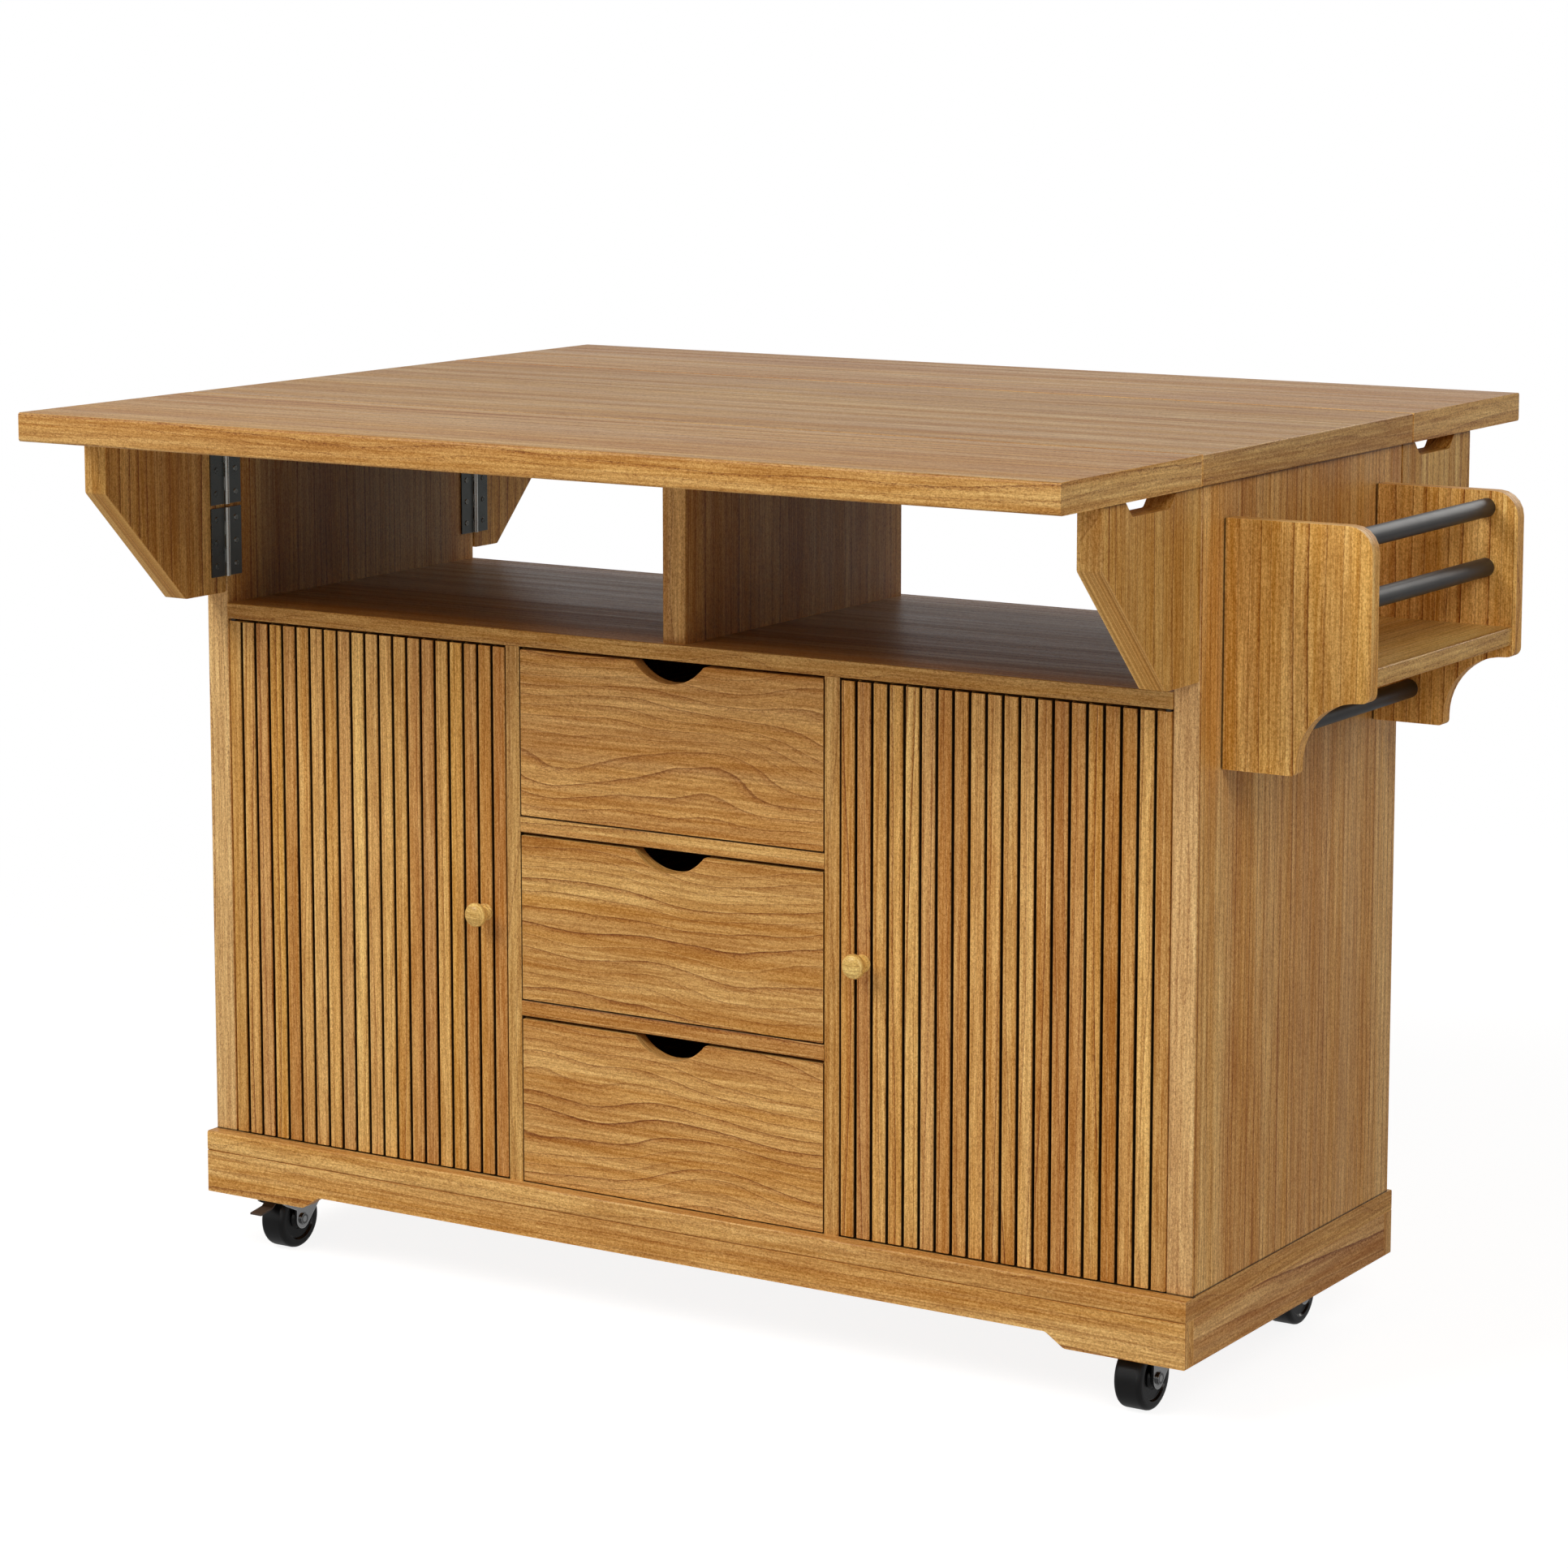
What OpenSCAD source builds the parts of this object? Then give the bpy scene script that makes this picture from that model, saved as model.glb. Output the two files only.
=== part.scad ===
// Kitchen island on casters with two raised drop leaves on folding brackets,
// fluted cupboard doors, three drawers, an open compartment and a side rack.
// +Y points to the back and +Z up. The origin is on the floor, in the middle of the whole island.

/* [Cabinet] */
// Width over the two side panels
cabinet_w = 1200; // [1150:10:1400]
// Depth of the side panels
cabinet_d = 450; // [440:5:520]
// Thickness of the side panels and of the folding brackets in line with them
side_t = 28; // [24:1:32]
// Height of the bay that holds the doors and drawers
bay_h = 569; // [520:1:640]
// Thickness of the shelf over the bay
deck_t = 17; // [14:1:22]
// Clear height of the open compartment
compartment_h = 198; // [190:1:240]
// Radius of the boards' long edges
edge_r = 2.5; // [1:0.5:4]
// Thickness of the two partitions beside the drawers
partition_t = 18; // [14:1:22]
// Clear width between the partitions
drawer_bay_w = 371; // [340:1:420]
// Thickness of the compartment's divider
divider_t = 28; // [18:1:32]
// Setback of the divider from the cabinet's front and back
divider_setback = 10; // [4:1:20]
// Thickness of the back panel
back_t = 6; // [4:1:10]
// Setback of the back panel from the back edges
back_inset = 6; // [2:1:12]
// Thickness of the cupboard shelves
inner_shelf_t = 16; // [12:1:20]
// Height of the cupboard shelves above the base
inner_shelf_z = 276; // [200:1:340]
// Gap at the ends, front and back of a cupboard shelf
inner_shelf_gap = 1; // [0.5:0.5:3]
// Radius of a shelf pin
shelf_pin_r = 2.5; // [2:0.5:4]
// Length of a shelf pin inside its hole, and of its free end
shelf_pin_l = 8; // [6:1:12]
// Distance of the shelf pins from the shelf's front and back edges
shelf_pin_inset = 45; // [30:1:80]

/* [Worktop] */
// Thickness of the three top boards
top_t = 30; // [24:1:38]
// Overhang of the top past each side panel
top_end_over = 6; // [2:1:20]
// Overhang of the fixed top board past the cabinet's front and back
top_seam_over = 12; // [8:1:20]
// Depth of each drop leaf
leaf_d = 274; // [240:1:300]
// Gap in the seam between the fixed board and a leaf
seam_gap = 1.6; // [1.5:0.1:2.5]
// Bevel along the top edges of a seam
seam_bevel = 1.2; // [0.5:0.1:2]
// Radius of the leaves' outer edges
leaf_edge_r = 3; // [1:0.5:6]

/* [Base] */
// Thickness of the base panel
base_t = 22; // [18:1:28]
// Projection of the base past the cabinet's front
base_front_over = 15; // [8:1:24]
// Projection of the base past the cabinet's back
base_back_over = 8; // [4:1:20]
// Projection of the base past each side panel
base_end_over = 1; // [0.5:0.5:6]
// Thickness of the plinth boards
plinth_t = 18; // [15:1:22]
// Height of the plinth boards at the feet
plinth_h = 46; // [36:1:60]
// Height of the feet above the floor
foot_z = 63; // [61:1:72]
// Length of a foot along the plinth
foot_len = 132; // [100:1:180]
// Length of the slope beside a foot
foot_slope = 21; // [14:1:40]
// Rise of the plinth's lower edge between the feet
foot_rise = 14; // [8:1:24]
// Radius where the slope beside a foot begins and ends
foot_r = 8; // [4:1:12]

/* [Folding brackets] */
// Length of a front bracket from the cabinet's front edge
front_bracket_len = 194; // [170:1:205]
// Length of a rear bracket from the cabinet's back edge
rear_bracket_len = 172; // [165:1:205]
// Gap between a bracket's root and the side panel
bracket_root_gap = 2; // [1.5:0.5:3]
// Gap over a bracket, under the leaf
bracket_top_gap = 0.3; // [0.2:0.1:1]
// Gap under a bracket, over the compartment's shelf
bracket_foot_gap = 12; // [6:1:20]
// Height of a bracket's outer edge
bracket_tip_h = 61; // [40:1:80]
// Length of the sloping lower edge, along the bracket
bracket_slope = 125; // [110:1:135]
// Radius at the ends of the sloping edge
bracket_corner_r = 5; // [2:1:8]
// Width of the finger notch at the top edge
notch_w = 102; // [90:1:110]
// Width of the finger notch at its bottom
notch_floor_w = 74; // [60:1:80]
// Depth of the finger notch
notch_h = 15.5; // [12:0.5:20]
// Distance of the finger notch from the bracket's tip
notch_tip = 40; // [32:1:48]
// Radius in the finger notch's corners
notch_r = 6; // [3:1:8]

/* [Hinges] */
// Length of a bracket hinge
bracket_hinge_len = 74; // [60:1:80]
// Height of the lower bracket hinge above the bracket's foot
bracket_hinge_z = 18; // [12:1:24]
// Gap between the two hinges of a bracket
bracket_hinge_gap = 4; // [2:1:8]
// Length of a worktop hinge
leaf_hinge_len = 60; // [50:1:70]
// Distance from the middle to the inner worktop hinges
leaf_hinge_inner = 110; // [60:1:150]
// Distance from the middle to the outer worktop hinges
leaf_hinge_outer = 330; // [250:1:335]
// Width of a hinge plate from the pin's axis
plate_w = 25; // [20:1:30]
// Thickness of a hinge plate
plate_t = 1.6; // [1.2:0.1:2]
// Radius of the knuckles round the pin
knuckle_r = 2.7; // [2.5:0.1:3]
// Gap between the knuckles and the face that the plates lie on
knuckle_gap = 0.2; // [0.1:0.1:0.5]
// Radius of a hinge pin
pin_r = 1.2; // [1:0.1:1.4]
// Radial clearance of the hinge pins and axles in their holes
running_fit = 0.05; // [0.02:0.01:0.08]
// Gap between neighbouring knuckles
knuckle_end_gap = 0.4; // [0.2:0.1:0.8]
// Radius of a hinge screw's head
screw_r = 3.4; // [2.5:0.1:4]
// Height of a hinge screw's head
screw_h = 0.9; // [0.6:0.1:1]
// Distance of the end screws from the hinge's ends
screw_end = 12; // [8:1:16]
// Distance of the screws from the hinge's free edge
screw_edge = 9; // [7:1:12]

/* [Doors] */
// Number of slats on a door
slat_count = 20; // [14:1:24]
// Gap between two slats
slat_gap = 3.5; // [2:0.5:5]
// Depth of a slat in front of the door's board
slat_t = 9; // [8.5:0.5:12]
// Bevel of a slat's front edges
slat_bevel = 1; // [0.5:0.1:2]
// Thickness of the door's board behind the slats
door_board_t = 12; // [9:1:16]
// Gap beside a door
door_side_gap = 1.5; // [1.3:0.1:3]
// Gap over a door
door_top_gap = 2.5; // [1.5:0.5:4]
// Gap under a door
door_foot_gap = 1.5; // [1:0.5:3]
// Radius of the door's front corner at the pivots
door_corner_r = 2.5; // [2:0.5:3]
// Distance of the pivots from the door's edge and from its front
pivot_inset = 4.2; // [4:0.1:5]
// Radius of a pivot pin
pivot_r = 2; // [1.5:0.1:2]
// Length of a pivot pin inside the door
pivot_l = 12; // [8:1:20]
// Radius of the washer on a pivot pin
washer_r = 3.6; // [3:0.1:4]
// Gap between a washer and the door
washer_gap = 0.3; // [0.2:0.1:0.5]
// Number of the slat that carries the knob, counted from the pivots
knob_slat = 19; // [10:1:20]
// Radius of a knob's head
knob_r = 12.8; // [10:0.2:16]
// Height of a knob's head above its base
knob_rise = 10; // [7:0.5:12]
// Half the depth of a knob's head
knob_half = 8; // [5:0.5:10]
// Radius of a knob's base
knob_base_r = 9; // [7:0.5:12]
// Thickness of a knob's base
knob_base_h = 3; // [2:0.5:5]
// Radius of a knob's neck
knob_neck_r = 6; // [4:0.5:8]

/* [Drawers] */
// Thickness of the rails between the drawers
rail_t = 17; // [14:1:22]
// Depth of the rails between the drawers
rail_d = 60; // [40:1:100]
// Thickness of a drawer's front
front_t = 16; // [14:1:20]
// Gap beside a drawer's front
front_side_gap = 1.2; // [1:0.1:2]
// Gap over a drawer's front
front_top_gap = 3; // [2:0.5:5]
// Gap under a drawer's front
front_foot_gap = 1.3; // [1:0.1:3]
// Width of the finger notch in a drawer's front
finger_w = 86; // [70:1:100]
// Depth of the finger notch in a drawer's front
finger_h = 21; // [16:1:28]
// Radius of the edges beside the finger notch
finger_edge_r = 4; // [2:1:5]
// Height of the drawer box's sides
box_h = 120; // [90:1:130]
// Gap between the drawer box and the back panel
box_back_gap = 32; // [20:1:60]
// Thickness of the drawer box's sides and back
box_t = 12; // [10:1:15]
// Thickness of the drawer box's bottom
box_floor_t = 5; // [4:1:8]
// Height of the box's lower edge above the drawer front's lower edge
box_z = 14; // [10:1:20]
// Height of the box's bottom above the sides' lower edge
box_floor_z = 8; // [5:1:12]
// Distance that the drawer runners end in front of the drawer box's back
runner_short = 10; // [5:1:40]
// Width of a runner, from the partition to the drawer box
runner_w = 12.7; // [11:0.1:14]
// Height of the runner's channel
runner_h = 36; // [28:1:45]
// Depth of the runner's channel
channel_w = 9; // [8:0.1:10]
// Thickness of the bar that slides in the channel
bar_t = 4; // [3:0.1:5]
// Height of the web between the bar and the drawer box
web_h = 24; // [16:1:26]
// Thickness of the runner's sheet
runner_t = 1.5; // [1:0.1:2]
// Distance of the channel's end behind the drawer's front
channel_start = 4; // [2:1:10]
// Clearance round the sliding member of a runner
runner_gap = 0.4; // [0.3:0.1:0.6]
// Height of the runner's lower edge above the box's lower edge
runner_z = 30; // [20:1:40]

/* [Rack] */
// Reach of the rack past the side panel
rack_reach = 153.5; // [130:0.5:180]
// Distance of the rack's side boards from the side panel's front and back edges
rack_inset = 46; // [20:1:80]
// Thickness of the rack's side boards
rack_side_t = 16; // [12:1:20]
// Height of the rack's side boards
rack_h = 241; // [220:1:260]
// Distance from the worktop's underside to the rack's top
rack_top_gap = 35; // [25:1:60]
// Height of the rack's deeper upper part
rack_upper_h = 166; // [150:1:180]
// Radius of the upper outer corners
rack_corner_r = 25; // [15:1:35]
// Radius of the outer corners where the sides narrow
rack_lip_r = 9; // [5:1:14]
// Radius of the lower corners
rack_foot_r = 5; // [3:1:8]
// Radius of the hollow curve between the deeper part and the narrow lower part
rack_curve_r = 66; // [50:1:70]
// Thickness of the rack's shelf
rack_shelf_t = 18; // [14:1:20]
// Height of the shelf's underside above the deeper part's lower edge
rack_shelf_z = 13; // [10:1:20]
// Setback of the shelf from the side boards' outer edge
rack_shelf_back = 3; // [1:1:8]
// Radius of the rods and the towel bar
rod_r = 9.5; // [6:0.5:11]
// Distance of the guard rods from the rack's outer edge
rod_edge = 33.5; // [25:0.5:40]
// Distance of the upper rod's axis from the rack's top
upper_rod_z = 17; // [14:1:30]
// Distance of the lower rod's axis from the rack's top
lower_rod_z = 77; // [60:1:90]
// Distance of the towel bar's axis from the side panel
towel_bar_x = 40.5; // [30:0.5:50]
// Height of the towel bar's axis above the rack's lower edge
towel_bar_z = 35; // [25:1:45]

/* [Casters] */
// Distance of a caster's pivot from the side panel's outer face
caster_x = 71.5; // [70:0.5:100]
// Distance of a caster's pivot from the side panel's front or back edge
caster_y = 60; // [60:1:90]
// Radius of a wheel
wheel_r = 33; // [30:0.5:33.5]
// Width of a wheel
wheel_w = 32; // [24:1:34]
// Radius of the wheel's rounded shoulders
wheel_round = 5; // [3:0.5:7]
// Depth of the recess in a wheel's sides
wheel_dish = 3.5; // [1:0.5:5]
// Width of the tyre, seen from the side
tyre_w = 9; // [7:0.5:11]
// Radius of the wheel's hub
hub_r = 9; // [7:0.5:10]
// Distance of the wheel's axle behind the caster's pivot
caster_trail = 24; // [20:1:26]
// Radius of the axle
axle_r = 3; // [2.5:0.1:4]
// Gap between the wheel's hub and the fork
hub_gap = 0.4; // [0.3:0.1:0.8]
// Thickness of the fork's sheet
fork_t = 2.5; // [2:0.1:3]
// Height of the fork's crown above the floor
fork_z = 72; // [71:0.5:75]
// Reach of the fork's crown in front of the caster's pivot
fork_front = 34; // [30:1:38]
// Reach of the fork's crown behind the caster's pivot
fork_back = 26; // [18:1:30]
// Radius of the caster's upright pivot
kingpin_r = 5; // [4:0.5:6]
// Width of the square mounting plate
caster_plate_w = 60; // [50:1:70]
// Thickness of the mounting plate
caster_plate_t = 2.5; // [2:0.5:4]
// Height of the race between the mounting plate and the fork
race_h = 4; // [2:0.5:5]
// Radius of that race
race_r = 16; // [12:1:20]
// Gap between the race and the fork
race_gap = 0.3; // [0.2:0.1:0.5]
// Width of a wooden block over a caster
caster_block_w = 84; // [70:1:88]
// Radius of the head under the caster's upright pivot
kingpin_head_r = 8; // [7:0.5:10]
// Height of that head
kingpin_head_h = 2.5; // [2:0.5:4]
// Radius of the fork's lower end round the axle
fork_foot_r = 11; // [8:0.5:12]
// Radius of the fork's ear round the brake's pin
brake_ear_r = 4.5; // [4:0.1:4.8]
// Length of that ear's root on the fork's front edge
brake_ear_root = 18; // [12:1:22]
// Radius of the heads on the brake's pin
brake_pin_head_r = 2.6; // [2.2:0.1:3.5]
// Radius of the nuts on the axle's ends
nut_r = 6; // [4.5:0.1:7]
// Height of those nuts
nut_h = 2.5; // [2:0.1:4]
// Distance of the brake's pin in front of the caster's pivot
brake_y = 52; // [51:0.5:53]
// Height of the brake's pin above the floor
brake_z = 57.5; // [57:0.1:57.8]
// Radius of the brake's pin
brake_pin_r = 1.5; // [1.2:0.1:2]
// Radius of the brake's barrel round its pin
brake_barrel_r = 3.2; // [2.8:0.1:3.5]
// Width of a brake pedal
pedal_w = 15; // [12:1:24]
// Reach of a brake pedal from the caster's pivot
pedal_reach = 83; // [76:1:90]
// Length of the flat end of a brake pedal
pedal_flat = 20; // [14:1:22]
// Drop of the pedal's flat end from its barrel to the bend
pedal_drop = 8; // [6:0.5:9]
// Further drop from the bend to the pedal's tip
pedal_tip_drop = 3; // [0:0.5:4]
// Thickness of a brake pedal
pedal_t = 2; // [1.5:0.5:3]

/* [Hidden] */

$fn = 48;

// Middle of the cabinet: the rack makes the whole island reach further to the right
middle_x = -(rack_reach - top_end_over) / 2;

// Faces of the cabinet, about its own middle
side_x = cabinet_w / 2;
inner_x = side_x - side_t;
face_y = cabinet_d / 2;

// Levels, from the floor up
plinth_top_z = foot_z + plinth_h;
bay_z = plinth_top_z + base_t;
deck_z = bay_z + bay_h;
compartment_z = deck_z + deck_t;
top_z = compartment_z + compartment_h;

// Drawer bay and cupboards
bay_inner_x = drawer_bay_w / 2;
bay_outer_x = bay_inner_x + partition_t;
back_face_y = face_y - back_inset - back_t;
drawer_pitch = (bay_h - 2 * rail_t) / 3 + rail_t;
front_h = drawer_pitch - rail_t - front_top_gap - front_foot_gap;
box_front_y = -face_y + front_t;
box_back_y = back_face_y - box_back_gap;
runner_l = box_back_y - runner_short - box_front_y;

// Doors
door_w = inner_x - bay_outer_x - 2 * door_side_gap;
door_x = inner_x - door_side_gap;
door_z = bay_z + door_foot_gap;
door_h = bay_h - door_foot_gap - door_top_gap;
slat_pitch = (door_w + slat_gap) / slat_count;
slat_w = slat_pitch - slat_gap;
pivot_x = door_x - pivot_inset;
pivot_y = -face_y + pivot_inset;

// Hinges: distance from the pin's axis to the face that the plates lie on
hinge_off = knuckle_r + knuckle_gap;
knuckle_count = 5;
plate_clear = 0.4;
bracket_foot_z = compartment_z + bracket_foot_gap;
bracket_top_z = top_z - bracket_top_gap;
bracket_pin_x = inner_x - hinge_off;
bracket_pin_y = face_y + bracket_root_gap / 2;
seam_y = face_y + top_seam_over + seam_gap / 2;
leaf_pin_z = top_z - hinge_off;
leaf_hinges = [-leaf_hinge_outer, -leaf_hinge_inner, leaf_hinge_inner, leaf_hinge_outer];

// Rack
rack_top_z = top_z - rack_top_gap;
rack_foot_z = rack_top_z - rack_h;
rack_step_z = rack_top_z - rack_upper_h;
rack_outer_y = face_y - rack_inset;
rack_inner_y = rack_outer_y - rack_side_t;
rack_curve_x = rack_reach - rack_lip_r - 0.5;
rack_lower_w = rack_curve_x - rack_curve_r;

// Casters
caster_plate_z = fork_z + race_gap + race_h;
caster_block_z = caster_plate_z + caster_plate_t;
fork_x = wheel_w / 2 + hub_gap;

wood = [0.76, 0.56, 0.33];
light_wood = [0.87, 0.72, 0.47];
inner_wood = [0.70, 0.51, 0.30];
gunmetal = [0.22, 0.23, 0.23];
steel = [0.75, 0.75, 0.76];
black = [0.07, 0.07, 0.07];

// ---- outlines and boards ----

function unit(v) = v / norm(v);
function turned(v, a) = [v.x * cos(a) - v.y * sin(a), v.x * sin(a) + v.y * cos(a)];
function corner(a, p, b, r, n) = r <= 0 ? [p] : let (
    u = unit(a - p),
    v = unit(b - p),
    half = acos(u * v) / 2,
    centre = p + unit(u + v) * r / sin(half),
    first = p + u * r / tan(half) - centre,
    way = sign(cross(v, u)))
    [for (i = [0:n]) centre + turned(first, way * (180 - 2 * half) * i / n)];

// The outline through points [x, y, radius], each corner rounded to its radius
function rounded(points, n = 5) = [for (i = [0:len(points) - 1]) let (
    a = points[(i + len(points) - 1) % len(points)],
    p = points[i],
    b = points[(i + 1) % len(points)])
    each corner([a.x, a.y], [p.x, p.y], [b.x, b.y], p.z, n)];

module rounded_rect(x1, y1, x2, y2, r) {
    polygon(rounded([[x1, y1, r], [x2, y1, r], [x2, y2, r], [x1, y2, r]]));
}

// Boards cut along X from an outline in Y and Z, along Y from one in X and Z, and along Z
module along_x(x1, x2) translate([x1, 0, 0]) rotate([90, 0, 90]) linear_extrude(x2 - x1) children();
module along_y(y1, y2) translate([0, y2, 0]) rotate([90, 0, 0]) linear_extrude(y2 - y1) children();
module along_z(z1, z2) translate([0, 0, z1]) linear_extrude(z2 - z1) children();

module on_island() translate([middle_x, 0, 0]) children();

// Turns what is drawn for the right or the back into its twin on the left or the front
module sided(right, back) {
    mirror([right ? 0 : 1, 0, 0]) mirror([0, back ? 0 : 1, 0]) children();
}

// ---- cabinet ----

module shelf_pin_places(x_out) {
    for (y = [-face_y + slat_t + door_board_t + shelf_pin_inset, back_face_y - shelf_pin_inset])
        translate([x_out, y, bay_z + inner_shelf_z - shelf_pin_r]) children();
}

module shelf_pin_holes(x_face, into) {
    shelf_pin_places(x_face)
        rotate([0, into * 90, 0]) translate([0, 0, -1])
            cylinder(r = shelf_pin_r + running_fit, h = shelf_pin_l + 1.3);
}

module side_panel() {
    difference() {
        along_z(bay_z, top_z) rounded_rect(inner_x, -face_y, side_x, face_y, edge_r);
        shelf_pin_holes(inner_x, 1);
    }
}

module left_side_panel() color(wood) on_island() sided(false, true) side_panel();
module right_side_panel() color(wood) on_island() side_panel();

module base_panel() color(wood) on_island() {
    reach = side_x + base_end_over;
    along_x(-reach, reach)
        rounded_rect(-face_y - base_front_over, plinth_top_z, face_y + base_back_over, bay_z, edge_r);
}

module plinth_board(y1, y2) {
    reach = side_x + base_end_over;
    slope_end = reach - foot_len - foot_slope;
    along_y(y1, y2) polygon(rounded([
        [-reach, foot_z, 1],
        [-reach + foot_len, foot_z, foot_r],
        [-slope_end, foot_z + foot_rise, foot_r],
        [slope_end, foot_z + foot_rise, foot_r],
        [reach - foot_len, foot_z, foot_r],
        [reach, foot_z, 1],
        [reach, plinth_top_z, 0],
        [-reach, plinth_top_z, 0]]));
}

module plinth_front() color(wood) on_island()
    plinth_board(-face_y - base_front_over, -face_y - base_front_over + plinth_t);

module plinth_back() color(wood) on_island()
    plinth_board(face_y + base_back_over - plinth_t, face_y + base_back_over);

module plinth_ends() color(wood) on_island()
    for (right = [false, true]) sided(right, true)
        along_y(-face_y - base_front_over + plinth_t, face_y + base_back_over - plinth_t)
            rounded_rect(side_x + base_end_over - plinth_t, foot_z, side_x + base_end_over, plinth_top_z, 1);

module caster_places() {
    for (x = [-1, 1], y = [-1, 1])
        translate([x * (side_x - caster_x), y * (face_y - caster_y), 0]) children();
}

module caster_blocks() color(inner_wood) on_island() caster_places()
    along_z(caster_block_z, plinth_top_z)
        rounded_rect(-caster_block_w / 2, -caster_block_w / 2, caster_block_w / 2, caster_block_w / 2, 3);

module compartment_shelf() color(wood) on_island()
    along_x(-inner_x, inner_x) rounded_rect(-face_y, deck_z, face_y, compartment_z, 1.5);

module compartment_divider() color(wood) on_island()
    along_z(compartment_z, top_z)
        rounded_rect(-divider_t / 2, -face_y + divider_setback, divider_t / 2, face_y - divider_setback, edge_r);

module partition() {
    difference() {
        along_z(bay_z, deck_z) rounded_rect(bay_inner_x, -face_y, bay_outer_x, back_face_y, 1.5);
        shelf_pin_holes(bay_outer_x, -1);
    }
}

module left_partition() color(wood) on_island() sided(false, true) partition();
module right_partition() color(wood) on_island() partition();

module drawer_rails() color(wood) on_island()
    for (i = [1, 2]) along_x(-bay_inner_x, bay_inner_x)
        rounded_rect(-face_y, bay_z + i * drawer_pitch - rail_t, -face_y + rail_d, bay_z + i * drawer_pitch, 1.5);

module back_panel() color(inner_wood) on_island()
    along_x(-inner_x, inner_x)
        translate([back_face_y, bay_z]) square([back_t, bay_h]);

module cupboard_shelves() color(inner_wood) on_island()
    for (right = [false, true]) sided(right, true)
        along_x(bay_outer_x + inner_shelf_gap, inner_x - inner_shelf_gap)
            rounded_rect(-face_y + slat_t + door_board_t + 4, bay_z + inner_shelf_z,
                back_face_y - inner_shelf_gap, bay_z + inner_shelf_z + inner_shelf_t, 1);

module shelf_pins() color(steel) on_island()
    for (right = [false, true]) sided(right, true) {
        shelf_pin_places(inner_x - shelf_pin_l) rotate([0, 90, 0]) cylinder(r = shelf_pin_r, h = 2 * shelf_pin_l);
        shelf_pin_places(bay_outer_x - shelf_pin_l) rotate([0, 90, 0]) cylinder(r = shelf_pin_r, h = 2 * shelf_pin_l);
    }

// ---- worktop ----

module centre_top() color(wood) on_island() {
    reach_y = seam_y - seam_gap / 2;
    along_x(-side_x - top_end_over, side_x + top_end_over) polygon([
        [-reach_y, top_z],
        [reach_y, top_z],
        [reach_y, top_z + top_t - seam_bevel],
        [reach_y - seam_bevel, top_z + top_t],
        [-reach_y + seam_bevel, top_z + top_t],
        [-reach_y, top_z + top_t - seam_bevel]]);
}

module leaf() {
    root_y = seam_y + seam_gap / 2;
    along_x(-side_x - top_end_over, side_x + top_end_over) polygon(rounded([
        [root_y, top_z, 0],
        [root_y + leaf_d, top_z, leaf_edge_r],
        [root_y + leaf_d, top_z + top_t, leaf_edge_r],
        [root_y + seam_bevel, top_z + top_t, 0],
        [root_y, top_z + top_t - seam_bevel, 0]]));
}

module front_leaf() color(wood) on_island() sided(true, false) leaf();
module rear_leaf() color(wood) on_island() leaf();

// ---- hinges ----
// A hinge stands on end along Z with its pin's axis at X = 0, Y = 0. Both plates lie on the face
// X = -hinge_off: the fixed one towards +Y, the other towards -Y.

module hinge_plate(length, fixed) {
    way = fixed ? 1 : -1;
    step = (length + knuckle_end_gap) / knuckle_count;
    near = knuckle_r + plate_clear;
    difference() {
        union() {
            translate([-hinge_off, fixed ? near : -plate_w, 0]) cube([plate_t, plate_w - near, length]);
            for (i = [fixed ? 0 : 1:2:knuckle_count - 1]) translate([0, 0, i * step]) {
                cylinder(r = knuckle_r, h = step - knuckle_end_gap);
                translate([-hinge_off, fixed ? 0 : -near - 1, 0])
                    cube([plate_t, near + 1, step - knuckle_end_gap]);
            }
        }
        translate([0, 0, -1]) cylinder(r = pin_r + running_fit, h = length + 2);
    }
}

module hinge_screws(length, fixed) {
    for (z = [screw_end, length / 2, length - screw_end])
        translate([-hinge_off + plate_t, (fixed ? 1 : -1) * (plate_w - screw_edge), z]) rotate([0, 90, 0])
            difference() {
                cylinder(r1 = screw_r, r2 = screw_r * 0.8, h = screw_h);
                for (a = [0, 90]) rotate([0, 0, a])
                    translate([-screw_r * 0.55, -screw_r * 0.12, screw_h * 0.4])
                        cube([screw_r * 1.1, screw_r * 0.24, screw_h]);
            }
}

module hinge_pin(length) {
    cylinder(r = pin_r, h = length);
}

// The two hinges of the bracket at the right back corner
module bracket_hinge_places() {
    for (i = [0, 1])
        translate([bracket_pin_x, bracket_pin_y,
            bracket_foot_z + bracket_hinge_z + i * (bracket_hinge_len + bracket_hinge_gap)])
            rotate([0, 0, 180]) children();
}

// The hinges between the fixed board and the rear leaf, laid along X under the seam
module leaf_hinge_places() {
    for (x = leaf_hinges)
        translate([x - leaf_hinge_len / 2, seam_y, leaf_pin_z])
            multmatrix([[0, 0, 1, 0], [0, -1, 0, 0], [-1, 0, 0, 0], [0, 0, 0, 1]]) children();
}

module every_corner() {
    for (right = [false, true], back = [false, true]) sided(right, back) children();
}

module front_and_back() {
    for (back = [false, true]) sided(true, back) children();
}

module fixed_hinge_plates() color(gunmetal) on_island() {
    every_corner() bracket_hinge_places() hinge_plate(bracket_hinge_len, true);
    front_and_back() leaf_hinge_places() hinge_plate(leaf_hinge_len, true);
}

module fixed_hinge_screws() color(steel) on_island() {
    every_corner() bracket_hinge_places() hinge_screws(bracket_hinge_len, true);
    front_and_back() leaf_hinge_places() hinge_screws(leaf_hinge_len, true);
}

module hinge_pins() color(steel) on_island() {
    every_corner() bracket_hinge_places() hinge_pin(bracket_hinge_len);
    front_and_back() leaf_hinge_places() hinge_pin(leaf_hinge_len);
}

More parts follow.
